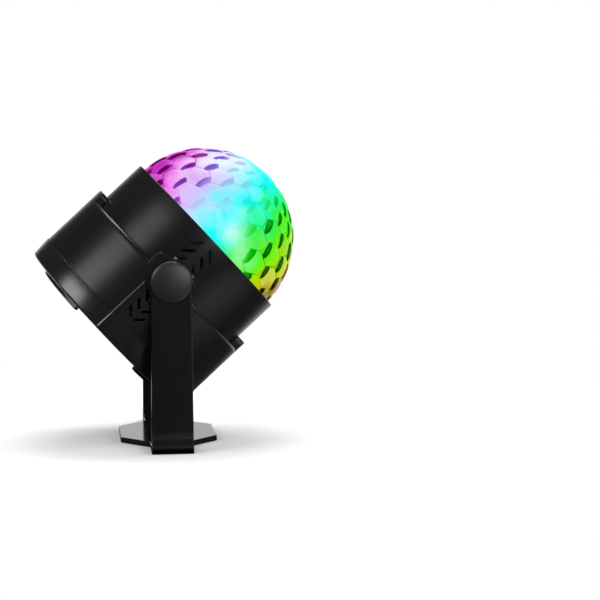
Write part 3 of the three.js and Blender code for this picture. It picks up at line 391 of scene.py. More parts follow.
def domeMaterial():
    # Clear lens plastic, lit from inside: that light is painted on as glow. Its colour runs across the dome,
    # and every lens has a painted dark streak of shade, with a lighter core, where it bends the view past the
    # lamps.
    look = domeLook
    inputs = {"Roughness": 0.10, "Specular IOR Level": 0.02, "Emission Strength": 1.0}
    material, tree, shader = newMaterial("domeLens", inputs)

    def times(first, second):
        return calculated(tree, "MULTIPLY", first, second)

    def spread(value, *ends):
        return ranged(tree, value, *ends)

    def blend(factor, first, second):
        return mixed(tree, factor, first, second)

    def scaled(colour, share, power):
        # A colour times a share, after a power that makes it deeper and richer.
        deeper = addNode(tree, "Gamma", {"Color": colour, "Gamma": power}).outputs["Color"]
        return vectorWork(tree, "SCALE", {0: deeper, "Scale": share})

    # The painted glow's colour: how far across the dome, wider at the crown than at the rim, and wandering a
    # little.
    place = addNode(tree, "TexCoord").outputs["Object"]
    cos, sin = math.cos(headTilt), math.sin(headTilt)
    across = vectorWork(tree, "DOT_PRODUCT", {0: place, 1: (cos, 0, -sin)}, "Value")
    along = vectorWork(tree, "DOT_PRODUCT", {0: place, 1: (sin, 0, cos)}, "Value")
    noise = {"Vector": place, "Scale": look["cloudScale"], "Detail": 3.0}
    cloud = addNode(tree, "TexNoise", noise).outputs["Fac"]
    reach = look["radius"] / 1000
    pivot = headPlace["pivotHeight"] / 1000
    rim = cos * pivot + look["centre"] / 1000
    share = spread(across, -sin * pivot - reach, -sin * pivot + reach, -1.0, 1.0)
    fan = spread(along, rim, rim + reach, *look["fan"])
    wander = look["wander"] / 2
    run = spread(times(share, fan), -1.0, 1.0, 0.0, 1.0)
    run = calculated(tree, "ADD", run, spread(cloud, *look["cloudSpan"], -wander, wander))
    ramp = addNode(tree, "ValToRGB", {"Fac": run})
    elements = ramp.color_ramp.elements
    while len(elements) < len(look["colours"]):
        elements.new(0.5)
    for element, (position, colour) in zip(elements, look["colours"]):
        element.position = (position + 1) / 2
        element.color = (*linear(colour), 1)
    base = ramp.outputs["Color"]

    # What each lens carries: the lamps' painted glow, the strength of the painted streak shade, its tone and
    # painted light, and its own grid.
    marks = addNode(tree, "Attribute", attribute_name="lensGlowShadeTone").outputs
    parts = addNode(tree, "SeparateColor", {"Color": marks["Color"]}).outputs
    glow, strength, tone = parts["Red"], parts["Green"], parts["Blue"]
    inLens = addNode(tree, "Attribute", attribute_name="lensPlace").outputs["Vector"]
    level = addNode(tree, "SeparateXYZ", {"Vector": inLens}).outputs["Z"]

    # Some lenses are a little lighter or deeper, the lamps' painted glow shows through in pale clouds, and
    # the grooves get painted shade.
    flat = spread(level, *look["flat"])
    lighter = times(flat, spread(tone, *look["lighter"]))
    deeper = times(flat, spread(tone, *look["deeper"]))
    patched = blend(lighter, blend(deeper, base, scaled(base, *look["deeperColour"])), (1, 1, 1, 1))
    clouded = blend(spread(cloud, *look["cloudy"]), patched, look["lightCloud"])
    glowing = blend(glow, blend(glow, patched, clouded), look["glow"])
    edge = times(spread(level, *look["groove"]), spread(strength, *look["grooveDark"]))
    edge = times(edge, spread(cloud, *look["grooveCloud"]))
    edged = blend(edge, glowing, scaled(base, *look["grooveColour"]))

    # The streak, painted shade: dark in its middle on the side that leans up, and along its outline on the
    # low side.
    inPlane = vectorWork(tree, "MULTIPLY", {0: inLens, 1: (1, 1, 0)})
    distance = vectorWork(tree, "LENGTH", {0: inPlane}, "Value")
    ragged = spread(cloud, *look["cloudSpan"], -look["ragged"], look["ragged"])
    distance = calculated(tree, "ADD", distance, ragged)
    fromLine = calculated(tree, "ABSOLUTE", calculated(tree, "SUBTRACT", distance, look["streakPlace"]))
    line = spread(fromLine, look["streakHalf"], look["streakLine"], 1.0, look["streakCore"])
    middle = spread(distance, *look["streakMiddle"])
    pattern = mixed(tree, spread(run, *look["streakRun"]), middle, line, "FLOAT")
    dark = times(pattern, spread(strength, *look["streakDark"]))
    streakColour = blend(dark, scaled(base, *look["paleStreak"]), scaled(base, *look["darkStreak"]))
    inside = spread(distance, *look["streakEdge"])
    streak = times(inside, spread(strength, *look["streakSeen"]))
    final = blend(streak, edged, streakColour)

    # The painted light: the colour glows as emission, dimmed on the skirt and the plain inside.
    lit = vectorWork(tree, "SCALE", {0: final, "Scale": marks["Alpha"]})
    setInputs(tree, shader, {
        "Emission Color": lit,
        "Base Color": vectorWork(tree, "SCALE", {0: lit, "Scale": look["base"]}),
    })
    return material


materials = {name: plasticMaterial(name, *finish) for name, finish in finishes.items()}
materials.update({name: metalMaterial(name, *metal) for name, metal in metals.items()})
materials["domeLens"] = domeMaterial()

# The solids' own finishes, zinc plated steel where no other is named
nodeFinish = {
    "innerPlastic": ("pivot_trunnion_near", "pivot_trunnion_far", "lamp_deck", "gearbox", "dome_carrier"),
    "washerRubber": ("friction_washer_near", "friction_washer_far"),
    "glossPlastic": ("ir_receiver", "control_chip", "capacitor"),
    "bareAluminium": ("heat_sink", "microphone"),
    "whiteBoard": ("light_board",),
    "greenBoard": ("control_board",),
    "lampLens": ("lamp_red", "lamp_green", "lamp_blue"),
}
finishOf = {name: finish for finish, names in nodeFinish.items() for name in names}
for name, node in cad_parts.items():
    node.data.materials.clear()
    node.data.materials.append(materials[finishOf.get(name, "zincSteel")])

print("stage 2: materials ready")

# Front housing: a straight tube with rounded lips, vents on both sides.
frontShape = {
    "radius": 42.0, "wall": 1.7, "low": -8.0, "high": 24.6, "lip": 0.35,
    "rows": (-2.0, 8.0, 16.0), "innerRow": 12.0,  # heights of the rows of points between the ends
}
ventShape = {
    "count": 3, "first": 13.5, "pitch": 4.75, "width": 1.1, "angle": 45.0,
    "front": (2.2, 5.6), "rear": (0.9, 4.0),  # where a slot begins and ends, along X
    "endShare": 0.3, "inwards": 6.0, "outwards": 3.0,
}
bearingShape = {
    "journal": 4.3, "journalEnd": 47.0, "recess": 6.9, "recessFloor": 45.4, "recessEnd": 48.0,
    "pocket": 6.7, "pocketOuter": 43.8, "pocketInner": 41.5, "segments": 64,
}


def sideBar(radius, near, far, side, up=0.0):
    # A closed bar along the tilt axis, between two distances from the middle.
    return onSide(zBar(radius, near, far, segments=bearingShape["segments"]), side, up)


def ventTools(side, way, span, wallRadius):
    # Slots in pairs that lean away from the pivot: bars with round ends, turned in the wall's plane.
    shape = ventShape
    lean = math.radians(shape["angle"])
    middle = (span[0] + span[1]) / 2
    half = shape["width"] / 2
    straight = (span[1] - span[0]) / 2 / math.cos(lean) - half * shape["endShare"]
    outline = np.concatenate([arc((straight, 0), half, -90, 90, 8), arc((-straight, 0), half, 90, 270, 8)])
    count = len(outline)
    index = np.arange(count)
    ahead = (index + 1) % count
    faces = gridFaces(2, count, closedColumns=True).tolist()
    for end in (0, 1):
        corners = [index + end * count, ahead + end * count, np.full(count, 2 * count + end)]
        faces += np.stack(corners, axis=-1).tolist()
    tools = []
    for step in range(shape["count"]):
        height = shape["first"] + step * shape["pitch"] - middle * math.tan(lean)
        for hand in (-1, 1):
            turn = -lean * hand * way
            along = outline[:, 0] * math.cos(turn) - outline[:, 1] * math.sin(turn) + hand * middle
            up = outline[:, 0] * math.sin(turn) + outline[:, 1] * math.cos(turn) + way * height
            depths = (wallRadius - shape["inwards"], wallRadius + shape["outwards"])
            rings = [np.stack([along, np.full_like(along, side * depth), up], axis=-1) for depth in depths]
            centres = [ring.mean(axis=0, keepdims=True) for ring in rings]
            tools.append(makeTool((np.concatenate(rings + centres), faces)))
    return tools


def bearingTools(side, withJournal=True):
    # What the bearing leaves open: the pocket of the trunnion's flange, the journal and the washer's recess.
    shape = bearingShape
    bars = [sideBar(shape["pocket"], shape["pocketInner"], shape["pocketOuter"], side)]
    if withJournal:
        bars.append(sideBar(shape["recess"], shape["recessFloor"], shape["recessEnd"], side))
        bars.append(sideBar(shape["journal"], shape["pocketInner"], shape["journalEnd"], side))
    return [makeTool(bar) for bar in bars]


def frontHousing():
    # The tube's section carried round the axis, less its vents and the trunnions' pockets.
    shape = frontShape
    outer, inner, lip = shape["radius"], shape["radius"] - shape["wall"], shape["lip"]
    profile = np.concatenate([
        [[inner, shape["low"]], [outer, shape["low"]], *[[outer, height] for height in shape["rows"]]],
        arc((outer - lip, shape["high"] - lip), lip, 0, 90),
        arc((inner + lip, shape["high"] - lip), lip, 90, 180),
        [[inner, shape["innerRow"]]],
    ])
    piece = makePiece("frontHousing", lathe(profile, 176), "front_housing", "housingPlastic")
    tools = [tool for side in (-1, 1) for tool in ventTools(side, 1, ventShape["front"], shape["radius"])]
    cutAway(piece, tools + [tool for side in (-1, 1) for tool in bearingTools(side, False)])


frontHousing()
print("stage 3: front housing")

# Rear housing: cup with two tongues and two ears, a raised panel and vents on each side.
panelShape = {  # on the cup and the cover
    "half": 7.2, "proud": 0.6, "slope": 0.55, "bevel": 0.6, "fall": 2.0,
    "columns": (-0.15, 1.5, 12), "clear": 0.35,  # the extra columns over a bevel, and the room round them
}
cupShape = {
    "radius": 46.0, "inner": 44.0, "depth": 26.4, "rimRound": 1.1, "rimLength": 2.0, "ledgeInner": 42.3,
    "ledge": 2.4, "padRadius": 10.5, "mouthEdge": 0.05,
    # Rows of points as shares of the height, first below the pad's edge and then above it
    "wallRows": (0.08, 1.0, 9), "padRows": (0, 0.25, 0.5, 0.75),
}
earShape = {"half": 12.4, "height": 7.7, "topRadius": 30.0, "corner": 2.2, "edge": 0.45, "root": -2.0}
tongueShape = {"half": 9.56, "height": 4.55, "corner": 2.0, "edge": 0.45, "root": -2.0}
bossShape = {"inner": 6.9, "outer": 8.2, "low": 43.0, "high": 46.5, "outerRound": 0.3, "innerRound": 0.2}
patchShape = {
    "sink": 0.06,  # how far the ears and tongues lie under the cup's wall below its rim
    "columns": 72, "rows": 26, "sideCrowd": 2.6, "topCrowd": 2.4, "leastRise": 0.02,
}


def ringColumns(count=176):
    # Angles round the axis, with extra ones over the panels' bevels on both sides.
    plain = np.linspace(0, 2 * math.pi, count, endpoint=False)
    chords = panelShape["half"] + panelShape["bevel"] * np.linspace(*panelShape["columns"])
    turn = np.arcsin(chords / cupShape["radius"])
    middles = (math.pi / 2, 3 * math.pi / 2)
    extra = np.concatenate([middle + way * turn for middle in middles for way in (-1, 1)])
    clear = np.abs(plain[:, None] - extra[None, :]).min(axis=1) > panelShape["clear"] * 2 * math.pi / count
    return np.sort(np.concatenate([plain[clear], extra]))


def withPanel(angle, radius, top):
    # The wall's radius, or the panel's where that is higher: its top, falling over a bevel and then steeply.
    shape = panelShape
    over = np.maximum(np.abs(cupShape["radius"] * np.cos(angle)) - shape["half"], 0)
    beyond = np.maximum(over - shape["bevel"], 0)
    return np.maximum(radius, top - shape["slope"] * over - shape["fall"] * beyond)


def cupBody():
    # Outer wall, rim, ledge and inner wall as one closed section carried round the axis.
    # The wall's rows bend round the pad, and below them the panel stands proud.
    shape = cupShape
    angle = ringColumns()
    outer, inner, ledgeInner, ledge = shape["radius"], shape["inner"], shape["ledgeInner"], shape["ledge"]
    near = np.clip(np.abs(outer * np.cos(angle)), 0, panelShape["half"] + panelShape["bevel"])
    padLow = -np.sqrt(shape["padRadius"] ** 2 - near ** 2)
    wall = withPanel(angle, outer, outer + panelShape["proud"])
    bottom, edge = -shape["depth"], shape["mouthEdge"]
    rise = padLow - panelShape["proud"] / 2 - bottom - edge
    rim = arc((outer - shape["rimRound"], -shape["rimRound"]), shape["rimRound"], 0, 90, 12)
    rows = [(inner, bottom), (wall - edge, bottom), (wall, bottom + edge)]
    rows += [(wall, bottom + edge + rise * part) for part in np.linspace(*shape["wallRows"])]
    rows += [(outer, padLow * (1 - part) - shape["rimLength"] * part) for part in shape["padRows"]]
    rows += [(radius, height * shape["rimLength"] / shape["rimRound"]) for radius, height in rim]
    rows += [(ledgeInner, 0), (ledgeInner, -ledge)]
    rows += [(inner, -ledge - (inner - ledgeInner)), (inner, bottom / 2)]
    points = np.stack([turned(radius, angle, height) for radius, height in rows])
    return points.reshape(-1, 3), gridFaces(*points.shape[:2], closedRows=True, closedColumns=True)


def wallPatch(outline, shape):
    # A raised patch of the cup's wall with a rounded edge: the height above its root follows the outline,
    # and the radius falls near it as a quarter circle. Both ends of the outline stand on the root.
    root, rows = shape["root"], patchShape["rows"]
    crowded = eased(patchShape["columns"], patchShape["sideCrowd"])
    spread = outline[0, 0] + (outline[-1, 0] - outline[0, 0]) * crowded
    inside = outline[np.argsort(outline[:, 0], kind="stable")]
    top = np.interp(spread, inside[:, 0], inside[:, 1])
    top[0], top[-1] = outline[1, 1], outline[-2, 1]
    rise = eased(2 * rows, patchShape["topCrowd"])[rows:] * 2 - 1
    rise = np.concatenate([[0], rise[rise > patchShape["leastRise"]]])
    z = root + (top[None, :] - root) * rise[:, None]
    x = np.broadcast_to(spread, z.shape)
    drop = roundDrop(outlineDistance(x, z, outline), shape["edge"])
    outer = cupShape["radius"] - drop - np.where(z < -cupShape["rimRound"], patchShape["sink"], 0.0)
    inner = np.full_like(z, cupShape["ledgeInner"])
    return slab(*[np.stack([x, np.sqrt(radius ** 2 - x ** 2), z], axis=-1) for radius in (outer, inner)])


def bothWays(right):
    # An outline from the left foot to the right one, from its right half.
    return np.concatenate([right[:-1] * [-1, 1], right[::-1]])


def earOutline():
    # Straight sides, round corners and an arched top.
    shape = earShape
    reach = shape["half"] - shape["corner"]
    slope = math.degrees(math.asin(reach / (shape["topRadius"] - shape["corner"])))
    middle = shape["height"] - shape["topRadius"]
    level = middle + (shape["topRadius"] - shape["corner"]) * math.cos(math.radians(slope))
    corner = arc((reach, level), shape["corner"], 0, 90 - slope, 10)
    top = arc((0, middle), shape["topRadius"], 90 - slope, 90, 12)
    return bothWays(np.concatenate([[[shape["half"], shape["root"]]], corner, top[1:]]))


def tongueOutline():
    # Straight sides, round corners and a flat top.
    shape = tongueShape
    centre = (shape["half"] - shape["corner"], shape["height"] - shape["corner"])
    corner = arc(centre, shape["corner"], 0, 90, 10)
    return bothWays(np.concatenate([[[shape["half"], shape["root"]]], corner, [[0, shape["height"]]]]))


def quarterTurns(shape, count):
    # The same shape turned about the head's axis by quarters of a turn.
    points, faces = shape
    x, y, z = points.T
    cos, sin = math.cos(count * math.pi / 2), math.sin(count * math.pi / 2)
    return np.stack([x * cos - y * sin, x * sin + y * cos, z], axis=-1), faces


def bearingBoss():
    # A short ring with rounded outer and inner edges at its top.
    shape = bossShape
    high, outerRound, innerRound = shape["high"], shape["outerRound"], shape["innerRound"]
    return lathe(np.concatenate([
        [[shape["inner"], shape["low"]], [shape["outer"], shape["low"]]],
        arc((shape["outer"] - outerRound, high - outerRound), outerRound, 0, 90, 4),
        arc((shape["inner"] + innerRound, high - innerRound), innerRound, 90, 180, 4),
    ]), 72)


def rearHousing():
    # The cup, and on each side a tongue over the tube and an ear with its boss.
    def housingPiece(name, shape):
        return makePiece(name, shape, "rear_housing", "housingPlastic")

    cup = housingPiece("rearHousing", cupBody())
    tools = [tool for side in (-1, 1) for tool in ventTools(side, -1, ventShape["rear"], cupShape["radius"])]
    cutAway(cup, tools + [tool for side in (-1, 1) for tool in bearingTools(side)])
    ear = wallPatch(earOutline(), earShape)
    tongue = wallPatch(tongueOutline(), tongueShape)
    for turns, name, side in ((0, "far", 1), (2, "near", -1)):
        cutAway(housingPiece(f"bearingEar_{name}", quarterTurns(ear, turns)), bearingTools(side))
        housingPiece(f"bearingBoss_{name}", onSide(bearingBoss(), side))
        housingPiece(f"tongue_{name}", quarterTurns(tongue, turns + 1))


rearHousing()
print("stage 4: rear housing")

# Rear cover: band, plate and two arc feet.
coverShape = {
    "radius": 46.0, "proud": 0.4, "taper": 0.6, "round": 1.15, "lip": 0.08, "mouth": -26.43, "rear": -35.6,
    "plate": 2.0, "plateRings": (0.0, 12.0, 24.0, 40.0),
    "spigot": 43.7, "spigotWall": 1.8, "spigotTop": -23.8,
    "screwCircle": 37.4, "screwAngle": 22.0, "headHole": 2.9, "headDepth": 1.7, "screwHole": 1.5,
    "inletHole": 4.2, "inletOffset": 18.0, "micHole": 1.0, "micOffset": -17.0,
}
footShape = {"outer": 36.7, "width": 2.8, "height": 2.1, "half": 60.0, "edge": 0.45, "root": 0.6}


def coverBody():
    # The cover's section carried round the axis, with the panels raised on its band.
    shape = coverShape
    angle = ringColumns()
    rear, mouth, inner = shape["rear"], shape["mouth"], shape["spigot"] - shape["spigotWall"]
    wide = shape["radius"] + shape["proud"]
    rearWide = wide - shape["taper"]
    top = shape["radius"] + panelShape["proud"]
    corner = arc((rearWide - shape["round"], rear + shape["round"]), shape["round"], -90, 0, 8)
    lip = arc((wide - shape["lip"], mouth - shape["lip"]), shape["lip"], 0, 90, 3)
    rows = [(radius, rear) for radius in shape["plateRings"]]
    for radius, height in np.concatenate([corner, lip]):
        rows.append((withPanel(angle, radius, min(top, radius + top - rearWide)), height))
    rows += [(shape["spigot"], mouth), (shape["spigot"], shape["spigotTop"]), (inner, shape["spigotTop"])]
    rows += [(inner, rear + shape["plate"]), (0.0, rear + shape["plate"])]
    points = np.stack([turned(radius, angle, height) for radius, height in rows])
    return points.reshape(-1, 3), gridFaces(*points.shape[:2], closedColumns=True)


def arcFoot(turn):
    # A curved bar between two angles: its top falls at the edges as a quarter circle.
    shape = footShape
    across = eased(14, 2.2)
    half = math.radians(shape["half"])
    angle = (-half + 2 * half * eased(64, 3.2))[:, None] + np.zeros_like(across)
    radius = shape["outer"] - shape["width"] * across[None, :] + np.zeros_like(angle)
    length = shape["outer"] * (half - np.abs(angle))
    wide = np.minimum(shape["outer"] - radius, radius - shape["outer"] + shape["width"])
    distance = np.minimum(wide, length)
    depth = coverShape["rear"] - shape["height"] + roundDrop(distance, shape["edge"])
    angle = angle + turn
    return slab(turned(radius, angle, depth), turned(radius, angle, coverShape["rear"] + shape["root"]))


def onScrewCircle(circle, offAxis):
    # The four places on a circle that lie a given angle off the tilt axis.
    angles = np.radians([90 - offAxis, 90 + offAxis, 270 - offAxis, 270 + offAxis])
    return np.stack([circle * np.cos(angles), circle * np.sin(angles)], axis=-1)


def rearCover():
    # The cover less the holes of the inlet, the microphone and the screws, and its two arc feet.
    shape = coverShape
    cover = makePiece("rearCover", coverBody(), "rear_cover", "coverPlastic")
    low, high = shape["rear"] - 1, shape["rear"] + shape["plate"] + 1
    bars = [
        zBar(shape["inletHole"], low, high, shape["inletOffset"]),
        zBar(shape["micHole"], low, high, shape["micOffset"]),
    ]
    for x, y in onScrewCircle(shape["screwCircle"], shape["screwAngle"]):
        bars.append(zBar(shape["screwHole"], low, high, x, y))
        bars.append(zBar(shape["headHole"], low, shape["rear"] + shape["headDepth"], x, y))
    cutAway(cover, [makeTool(bar) for bar in bars])
    makePiece("coverFeet", joined([arcFoot(0), arcFoot(math.pi)]), "rear_cover", "housingPlastic")


rearCover()

inletShape = {
    "outer": 3.9, "bore": 2.8, "pin": 1.0, "pinDepth": 0.8, "pinRound": 0.4, "mouthRound": 0.2,
    "mouth": -35.3, "floor": -26.8, "flange": 5.0, "flangeLow": -33.3, "flangeHigh": -32.1, "top": -23.0,
}


def powerInlet():
    # A round socket round a contact pin, its mouth and the pin's tip rounded.
    shape = inletShape
    outer, bore, flange, mouth = shape["outer"], shape["bore"], shape["flange"], shape["mouth"]
    pinRound, mouthRound = shape["pinRound"], shape["mouthRound"]
    tip = mouth + shape["pinDepth"]
    profile = np.concatenate([
        [[0, tip]],
        arc((shape["pin"] - pinRound, tip + pinRound), pinRound, -90, 0, 4),
        [[shape["pin"], shape["floor"]], [bore, shape["floor"]]],
        arc((bore + mouthRound, mouth + mouthRound), mouthRound, 180, 270, 4),
        arc((outer - mouthRound, mouth + mouthRound), mouthRound, 270, 360, 4),
        [[outer, shape["flangeLow"]], [flange, shape["flangeLow"]], [flange, shape["flangeHigh"]]],
        [[outer, shape["flangeHigh"]], [outer, shape["top"]], [0, shape["top"]]],
    ])
    points, faces = lathe(profile, 56, closed=False)
    shifted = points + [coverShape["inletOffset"], 0, 0]
    makePiece("powerInlet", (shifted, faces), "power_inlet", "glossPlastic")


powerInlet()

screwShape = {
    "head": 2.6, "rimShare": 0.25, "headHeight": 1.4, "shank": 1.2, "length": 12.0, "seat": -33.9,
    "segments": 80,
    "cross": 1.7, "crossEnd": 0.5, "slot": 0.32, "slotEdge": 0.12, "crossDepth": 0.7,
}


def coverScrew(index, x, y):
    # A pan head, its crown falling as sqrt(1 - r^4), with a cross recess, on a plain shank.
    shape = screwShape
    head, shank, length = shape["head"], shape["shank"], shape["length"]
    flat = 1 - shape["rimShare"]
    share = np.concatenate([np.linspace(0, flat, 20), arc((flat, 0), shape["rimShare"], 90, 0, 6)[1:, 0]])
    angle = np.linspace(0, 2 * math.pi, shape["segments"], endpoint=False)
    radius = head * share[:, None] + 0 * angle
    crown = shape["headHeight"] * np.sqrt(np.clip(1 - share ** 4, 0, 1))[:, None] + 0 * angle
    across, up = np.abs(radius * np.cos(angle)), np.abs(radius * np.sin(angle))
    arms = np.minimum(np.maximum(shape["slot"] - np.minimum(across, up), 0) / shape["slotEdge"], 1)
    ends = np.clip((shape["cross"] - np.maximum(across, up)) / shape["crossEnd"], 0, 1)
    height = crown - shape["crossDepth"] * arms * ends
    top = turned(radius, angle, -height).reshape(-1, 3)
    low = lathe([[head, 0], [shank, 0], [shank, length], [0, length]], shape["segments"], closed=False)[0]
    points = np.concatenate([top, low]) + [x, y, shape["seat"]]
    faces = gridFaces(len(share) + 4, shape["segments"], closedColumns=True)
    makePiece(f"coverScrew_{index}", (points, faces), f"cover_screw_{index}", "zincSteel")


for index, (x, y) in enumerate(onScrewCircle(coverShape["screwCircle"], coverShape["screwAngle"])):
    coverScrew(index + 1, x, y)
print("stage 5: rear cover")

# Yoke: base plate and two arms in one moulding, and the caps over the pivots.
plateShape = {
    "thick": 2.4, "half": 20.8, "straight": 17.0, "chamferEnd": 31.8, "stripHalf": 8.8, "edge": 0.4,
    "hole": 2.1, "holeOffset": 12.5, "sink": 1.4,
}
armShape = {
    "inner": 46.9, "outer": 49.9, "topHalf": 8.4, "flare": 1.8, "flareLow": 2.9, "flareHigh": 6.6,
    "fillet": 3.0, "edge": 0.4, "footRows": (0.0, 0.05, 0.15, 0.4),
    "hole": 4.3, "holeInner": 46, "headHole": 5.3, "headFloor": 48.3, "holeOuter": 51,
}


def basePlate():
    # The plate's half width is a chain of straight stretches along Y, and both faces have rounded edges.
    shape = plateShape
    end, strip, straight = armShape["outer"] + armShape["flare"], shape["stripHalf"], shape["straight"]
    right = [[straight, shape["half"]], [shape["chamferEnd"], strip], [end, strip]]
    knots = np.asarray([[-y, x] for y, x in right[::-1]] + right)
    close = np.linspace(0, 0.5, 6)
    y = np.unique(np.concatenate([np.linspace(-end, end, 110), knots[:, 0], -end + close, end - close]))
    half = np.interp(y, knots[:, 0], knots[:, 1])
    x = half[:, None] * (2 * eased(40, 2.6) - 1)[None, :]
    spread = np.broadcast_to(y[:, None], x.shape)
    outline = np.concatenate([knots[:, ::-1], knots[::-1, ::-1] * [-1, 1], knots[:1, ::-1]])
    drop = roundDrop(outlineDistance(x, spread, outline), shape["edge"])
    return slab(*[np.stack([x, spread, level], axis=-1) for level in (shape["thick"] - drop, drop)])


def yokeArm(side):
    # Its half width tapers to the round top, and its faces follow the foot's flare and fillet.
    shape, plate = armShape, plateShape
    pivot = headPlace["pivotHeight"]
    flareLow, flareHigh, deep = shape["flareLow"], shape["flareHigh"], shape["fillet"]
    foot = [*shape["footRows"], *np.linspace(1.0, flareLow, 6)[:-1], *np.linspace(flareLow, flareHigh, 8)]
    low = np.concatenate([foot, np.linspace(10, pivot, 30)])
    turn = np.radians(np.linspace(0, 90, 26)[1:])
    z = np.concatenate([low, pivot + shape["topHalf"] * np.sin(turn)])
    tapered = np.interp(low, [0, pivot], [plate["stripHalf"], shape["topHalf"]])
    half = np.concatenate([tapered, shape["topHalf"] * np.cos(turn)])
    x = half[:, None] * (2 * eased(36, 2.6) - 1)[None, :]
    height = np.broadcast_to(z[:, None], x.shape)
    fromSide = half[:, None] - np.abs(x)
    fromTop = shape["topHalf"] - np.hypot(x, height - pivot)
    distance = np.minimum(np.where(height > pivot, fromTop, fromSide), height)
    drop = roundDrop(np.maximum(distance, 0), shape["edge"])
    flare = np.interp(height, [flareLow, flareHigh], [shape["flare"], 0.0])
    within = np.clip(deep + plate["thick"] - height, 0, deep)
    fillet = deep - np.sqrt(deep ** 2 - within ** 2)
    faces = (shape["outer"] + flare - drop, shape["inner"] - fillet + drop)
    return slab(*[np.stack([x, side * depth, height], axis=-1) for depth in faces])


def yokeBracket():
    # Two arms with stepped holes for the pivots, and the plate with its two countersunk holes.
    arm, plate = armShape, plateShape
    pivot = headPlace["pivotHeight"]
    for name, side in (("near", -1), ("far", 1)):
        piece = makePiece(f"yokeArm_{name}", yokeArm(side), "yoke_bracket", "yokePlastic", "yoke")
        bars = [
            sideBar(arm["hole"], arm["holeInner"], arm["holeOuter"], side, pivot),
            sideBar(arm["headHole"], arm["headFloor"], arm["holeOuter"], side, pivot),
        ]
        cutAway(piece, [makeTool(bar, toYoke) for bar in bars])
    piece = makePiece("basePlate", basePlate(), "yoke_bracket", "platePlastic", "yoke")
    hole, sink, top = plate["hole"], plate["sink"], plate["thick"] + 1
    profile = [[0, -1], [hole, -1], [hole, plate["thick"] - sink], [hole + sink + 1, top], [0, top]]
    points, faces = lathe(profile, 48, closed=False)
    offset = plate["holeOffset"]
    cutAway(piece, [makeTool((points + [0, y, 0], faces), toYoke) for y in (-offset, offset)])


yokeBracket()

capShape = {"radius": 8.6, "base": 50.2, "rim": 0.9, "crown": 1.7}


def pivotCap(name, side):
    # A short rim under a crown whose section is a quarter of an ellipse.
    shape = capShape
    turn = np.radians(np.linspace(0, 90, 28))
    rise = shape["base"] + shape["rim"] + shape["crown"] * np.sin(turn)
    crown = np.stack([shape["radius"] * np.cos(turn), rise], axis=-1)
    profile = np.concatenate([[[0, shape["base"]], [shape["radius"], shape["base"]]], crown])
    profile[-1, 0] = 0
    cap = onSide(lathe(profile, 96, closed=False), side, headPlace["pivotHeight"])
    makePiece(f"pivotCap_{name}", cap, f"pivot_cap_{name}", "capPlastic", "yoke", 60)


pivotCap("near", -1)
pivotCap("far", 1)
print("stage 6: yoke")

# Dome: rings of six-sided lenses, each one a pillow that falls steeply to the grooves round it.
domeShape = {
    "centre": 22.95, "groove": 39.1, "relief": 0.7, "inner": 37.1, "skirt": 5.2, "perRing": 18, "rings": 6,
    "crownLenses": 9, "crownPolar": 10.0, "firstRing": 24.0, "ringStep": 12.0, "zigzag": 2.4, "edgeSteps": 4,
    # skirtLight: the painted glow of the skirt and the plain inside, which shows through the vents
    "pillow": 4.0, "levels": (0.0, 0.22, 0.42, 0.58, 0.70, 0.80, 0.88, 0.95, 1.0), "skirtLight": 0.009,
}
glowShape = {
    # The lamps' soft white glows, painted on the dome: degrees from the crown, degrees round from the low
    # side, width in degrees and strength
    "spots": (
        (76.0, 86.0, 6.5, 0.55), (61.0, 90.0, 6.0, 0.20), (78.0, 74.0, 7.0, 0.22), (62.0, 64.0, 9.0, 0.09),
        (43.0, 143.0, 14.0, 0.60), (31.0, 132.0, 11.0, 0.45), (52.0, 122.0, 9.0, 0.15),
        (81.0, 62.0, 7.0, 0.12), (60.0, 140.0, 14.0, 0.34), (68.0, 80.0, 6.0, 0.14), (85.0, 70.0, 7.0, 0.16),
    ),
    "cut": 0.04,
}
streakShape = {
    # Shares of a lens for its streak of painted shade: place across and along it, half width and half length,
    # each from least to most
    "ranges": ((0.56, 0.70), (-0.08, 0.26), (0.17, 0.29), (0.55, 0.98)),
    # Where the painted streak shade is strong, as a place across and towards the viewer's side, and how fast
    # it fades
    "left": 0.44, "right": 0.12, "fade": 0.24, "facing": 0.95, "turn": 0.14, "least": 0.22, "dimmest": 0.12,
    "longer": 0.5,
}


def ringEdge(edge, step):
    # Degrees from the crown of a ring's upper edge: it rises at the middle of each lens.
    shape = domeShape
    polar = shape["firstRing"] + edge * shape["ringStep"]
    if polar >= 90:
        return 90.0
    if (step - edge) % 2:
        return polar + shape["zigzag"]
    if edge == 0 and step % 4:
        return polar
    return polar - shape["zigzag"]


def lensGroups():
    # Corners of the lenses in degrees from the crown and round it, grouped by their number.
    shape = domeShape
    half = 180 / shape["perRing"]
    starts = [4 * lens for lens in range(shape["crownLenses"])]
    crown = [[(shape["crownPolar"], start * half) for start in starts]]
    first = []
    for start in starts:
        lower = [(ringEdge(0, start + i), (start + i) * half) for i in range(5)]
        first.append([(shape["crownPolar"], start * half), *lower, (shape["crownPolar"], (start + 4) * half)])
    rings = []
    for ring in range(shape["rings"]):
        for lens in range(shape["perRing"]):
            middle = 2 * lens + ring % 2
            edges = ((ring, -1), (ring, 0), (ring, 1), (ring + 1, 1), (ring + 1, 0), (ring + 1, -1))
            rings.append([(ringEdge(edge, middle + step), (middle + step) * half) for edge, step in edges])
    return [np.asarray(crown), np.asarray(first), np.asarray(rings)]


def direction(polar, azimuth):
    # Unit vector: (sin p cos a, sin p sin a, cos p).
    polar, azimuth = np.broadcast_arrays(np.radians(polar), np.radians(azimuth))
    flat = np.sin(polar)
    return np.stack([flat * np.cos(azimuth), flat * np.sin(azimuth), np.cos(polar)], axis=-1)


def unit(vectors, least=0.0):
    # Each vector divided by its length.
    return vectors / np.maximum(np.linalg.norm(vectors, axis=-1, keepdims=True), least)


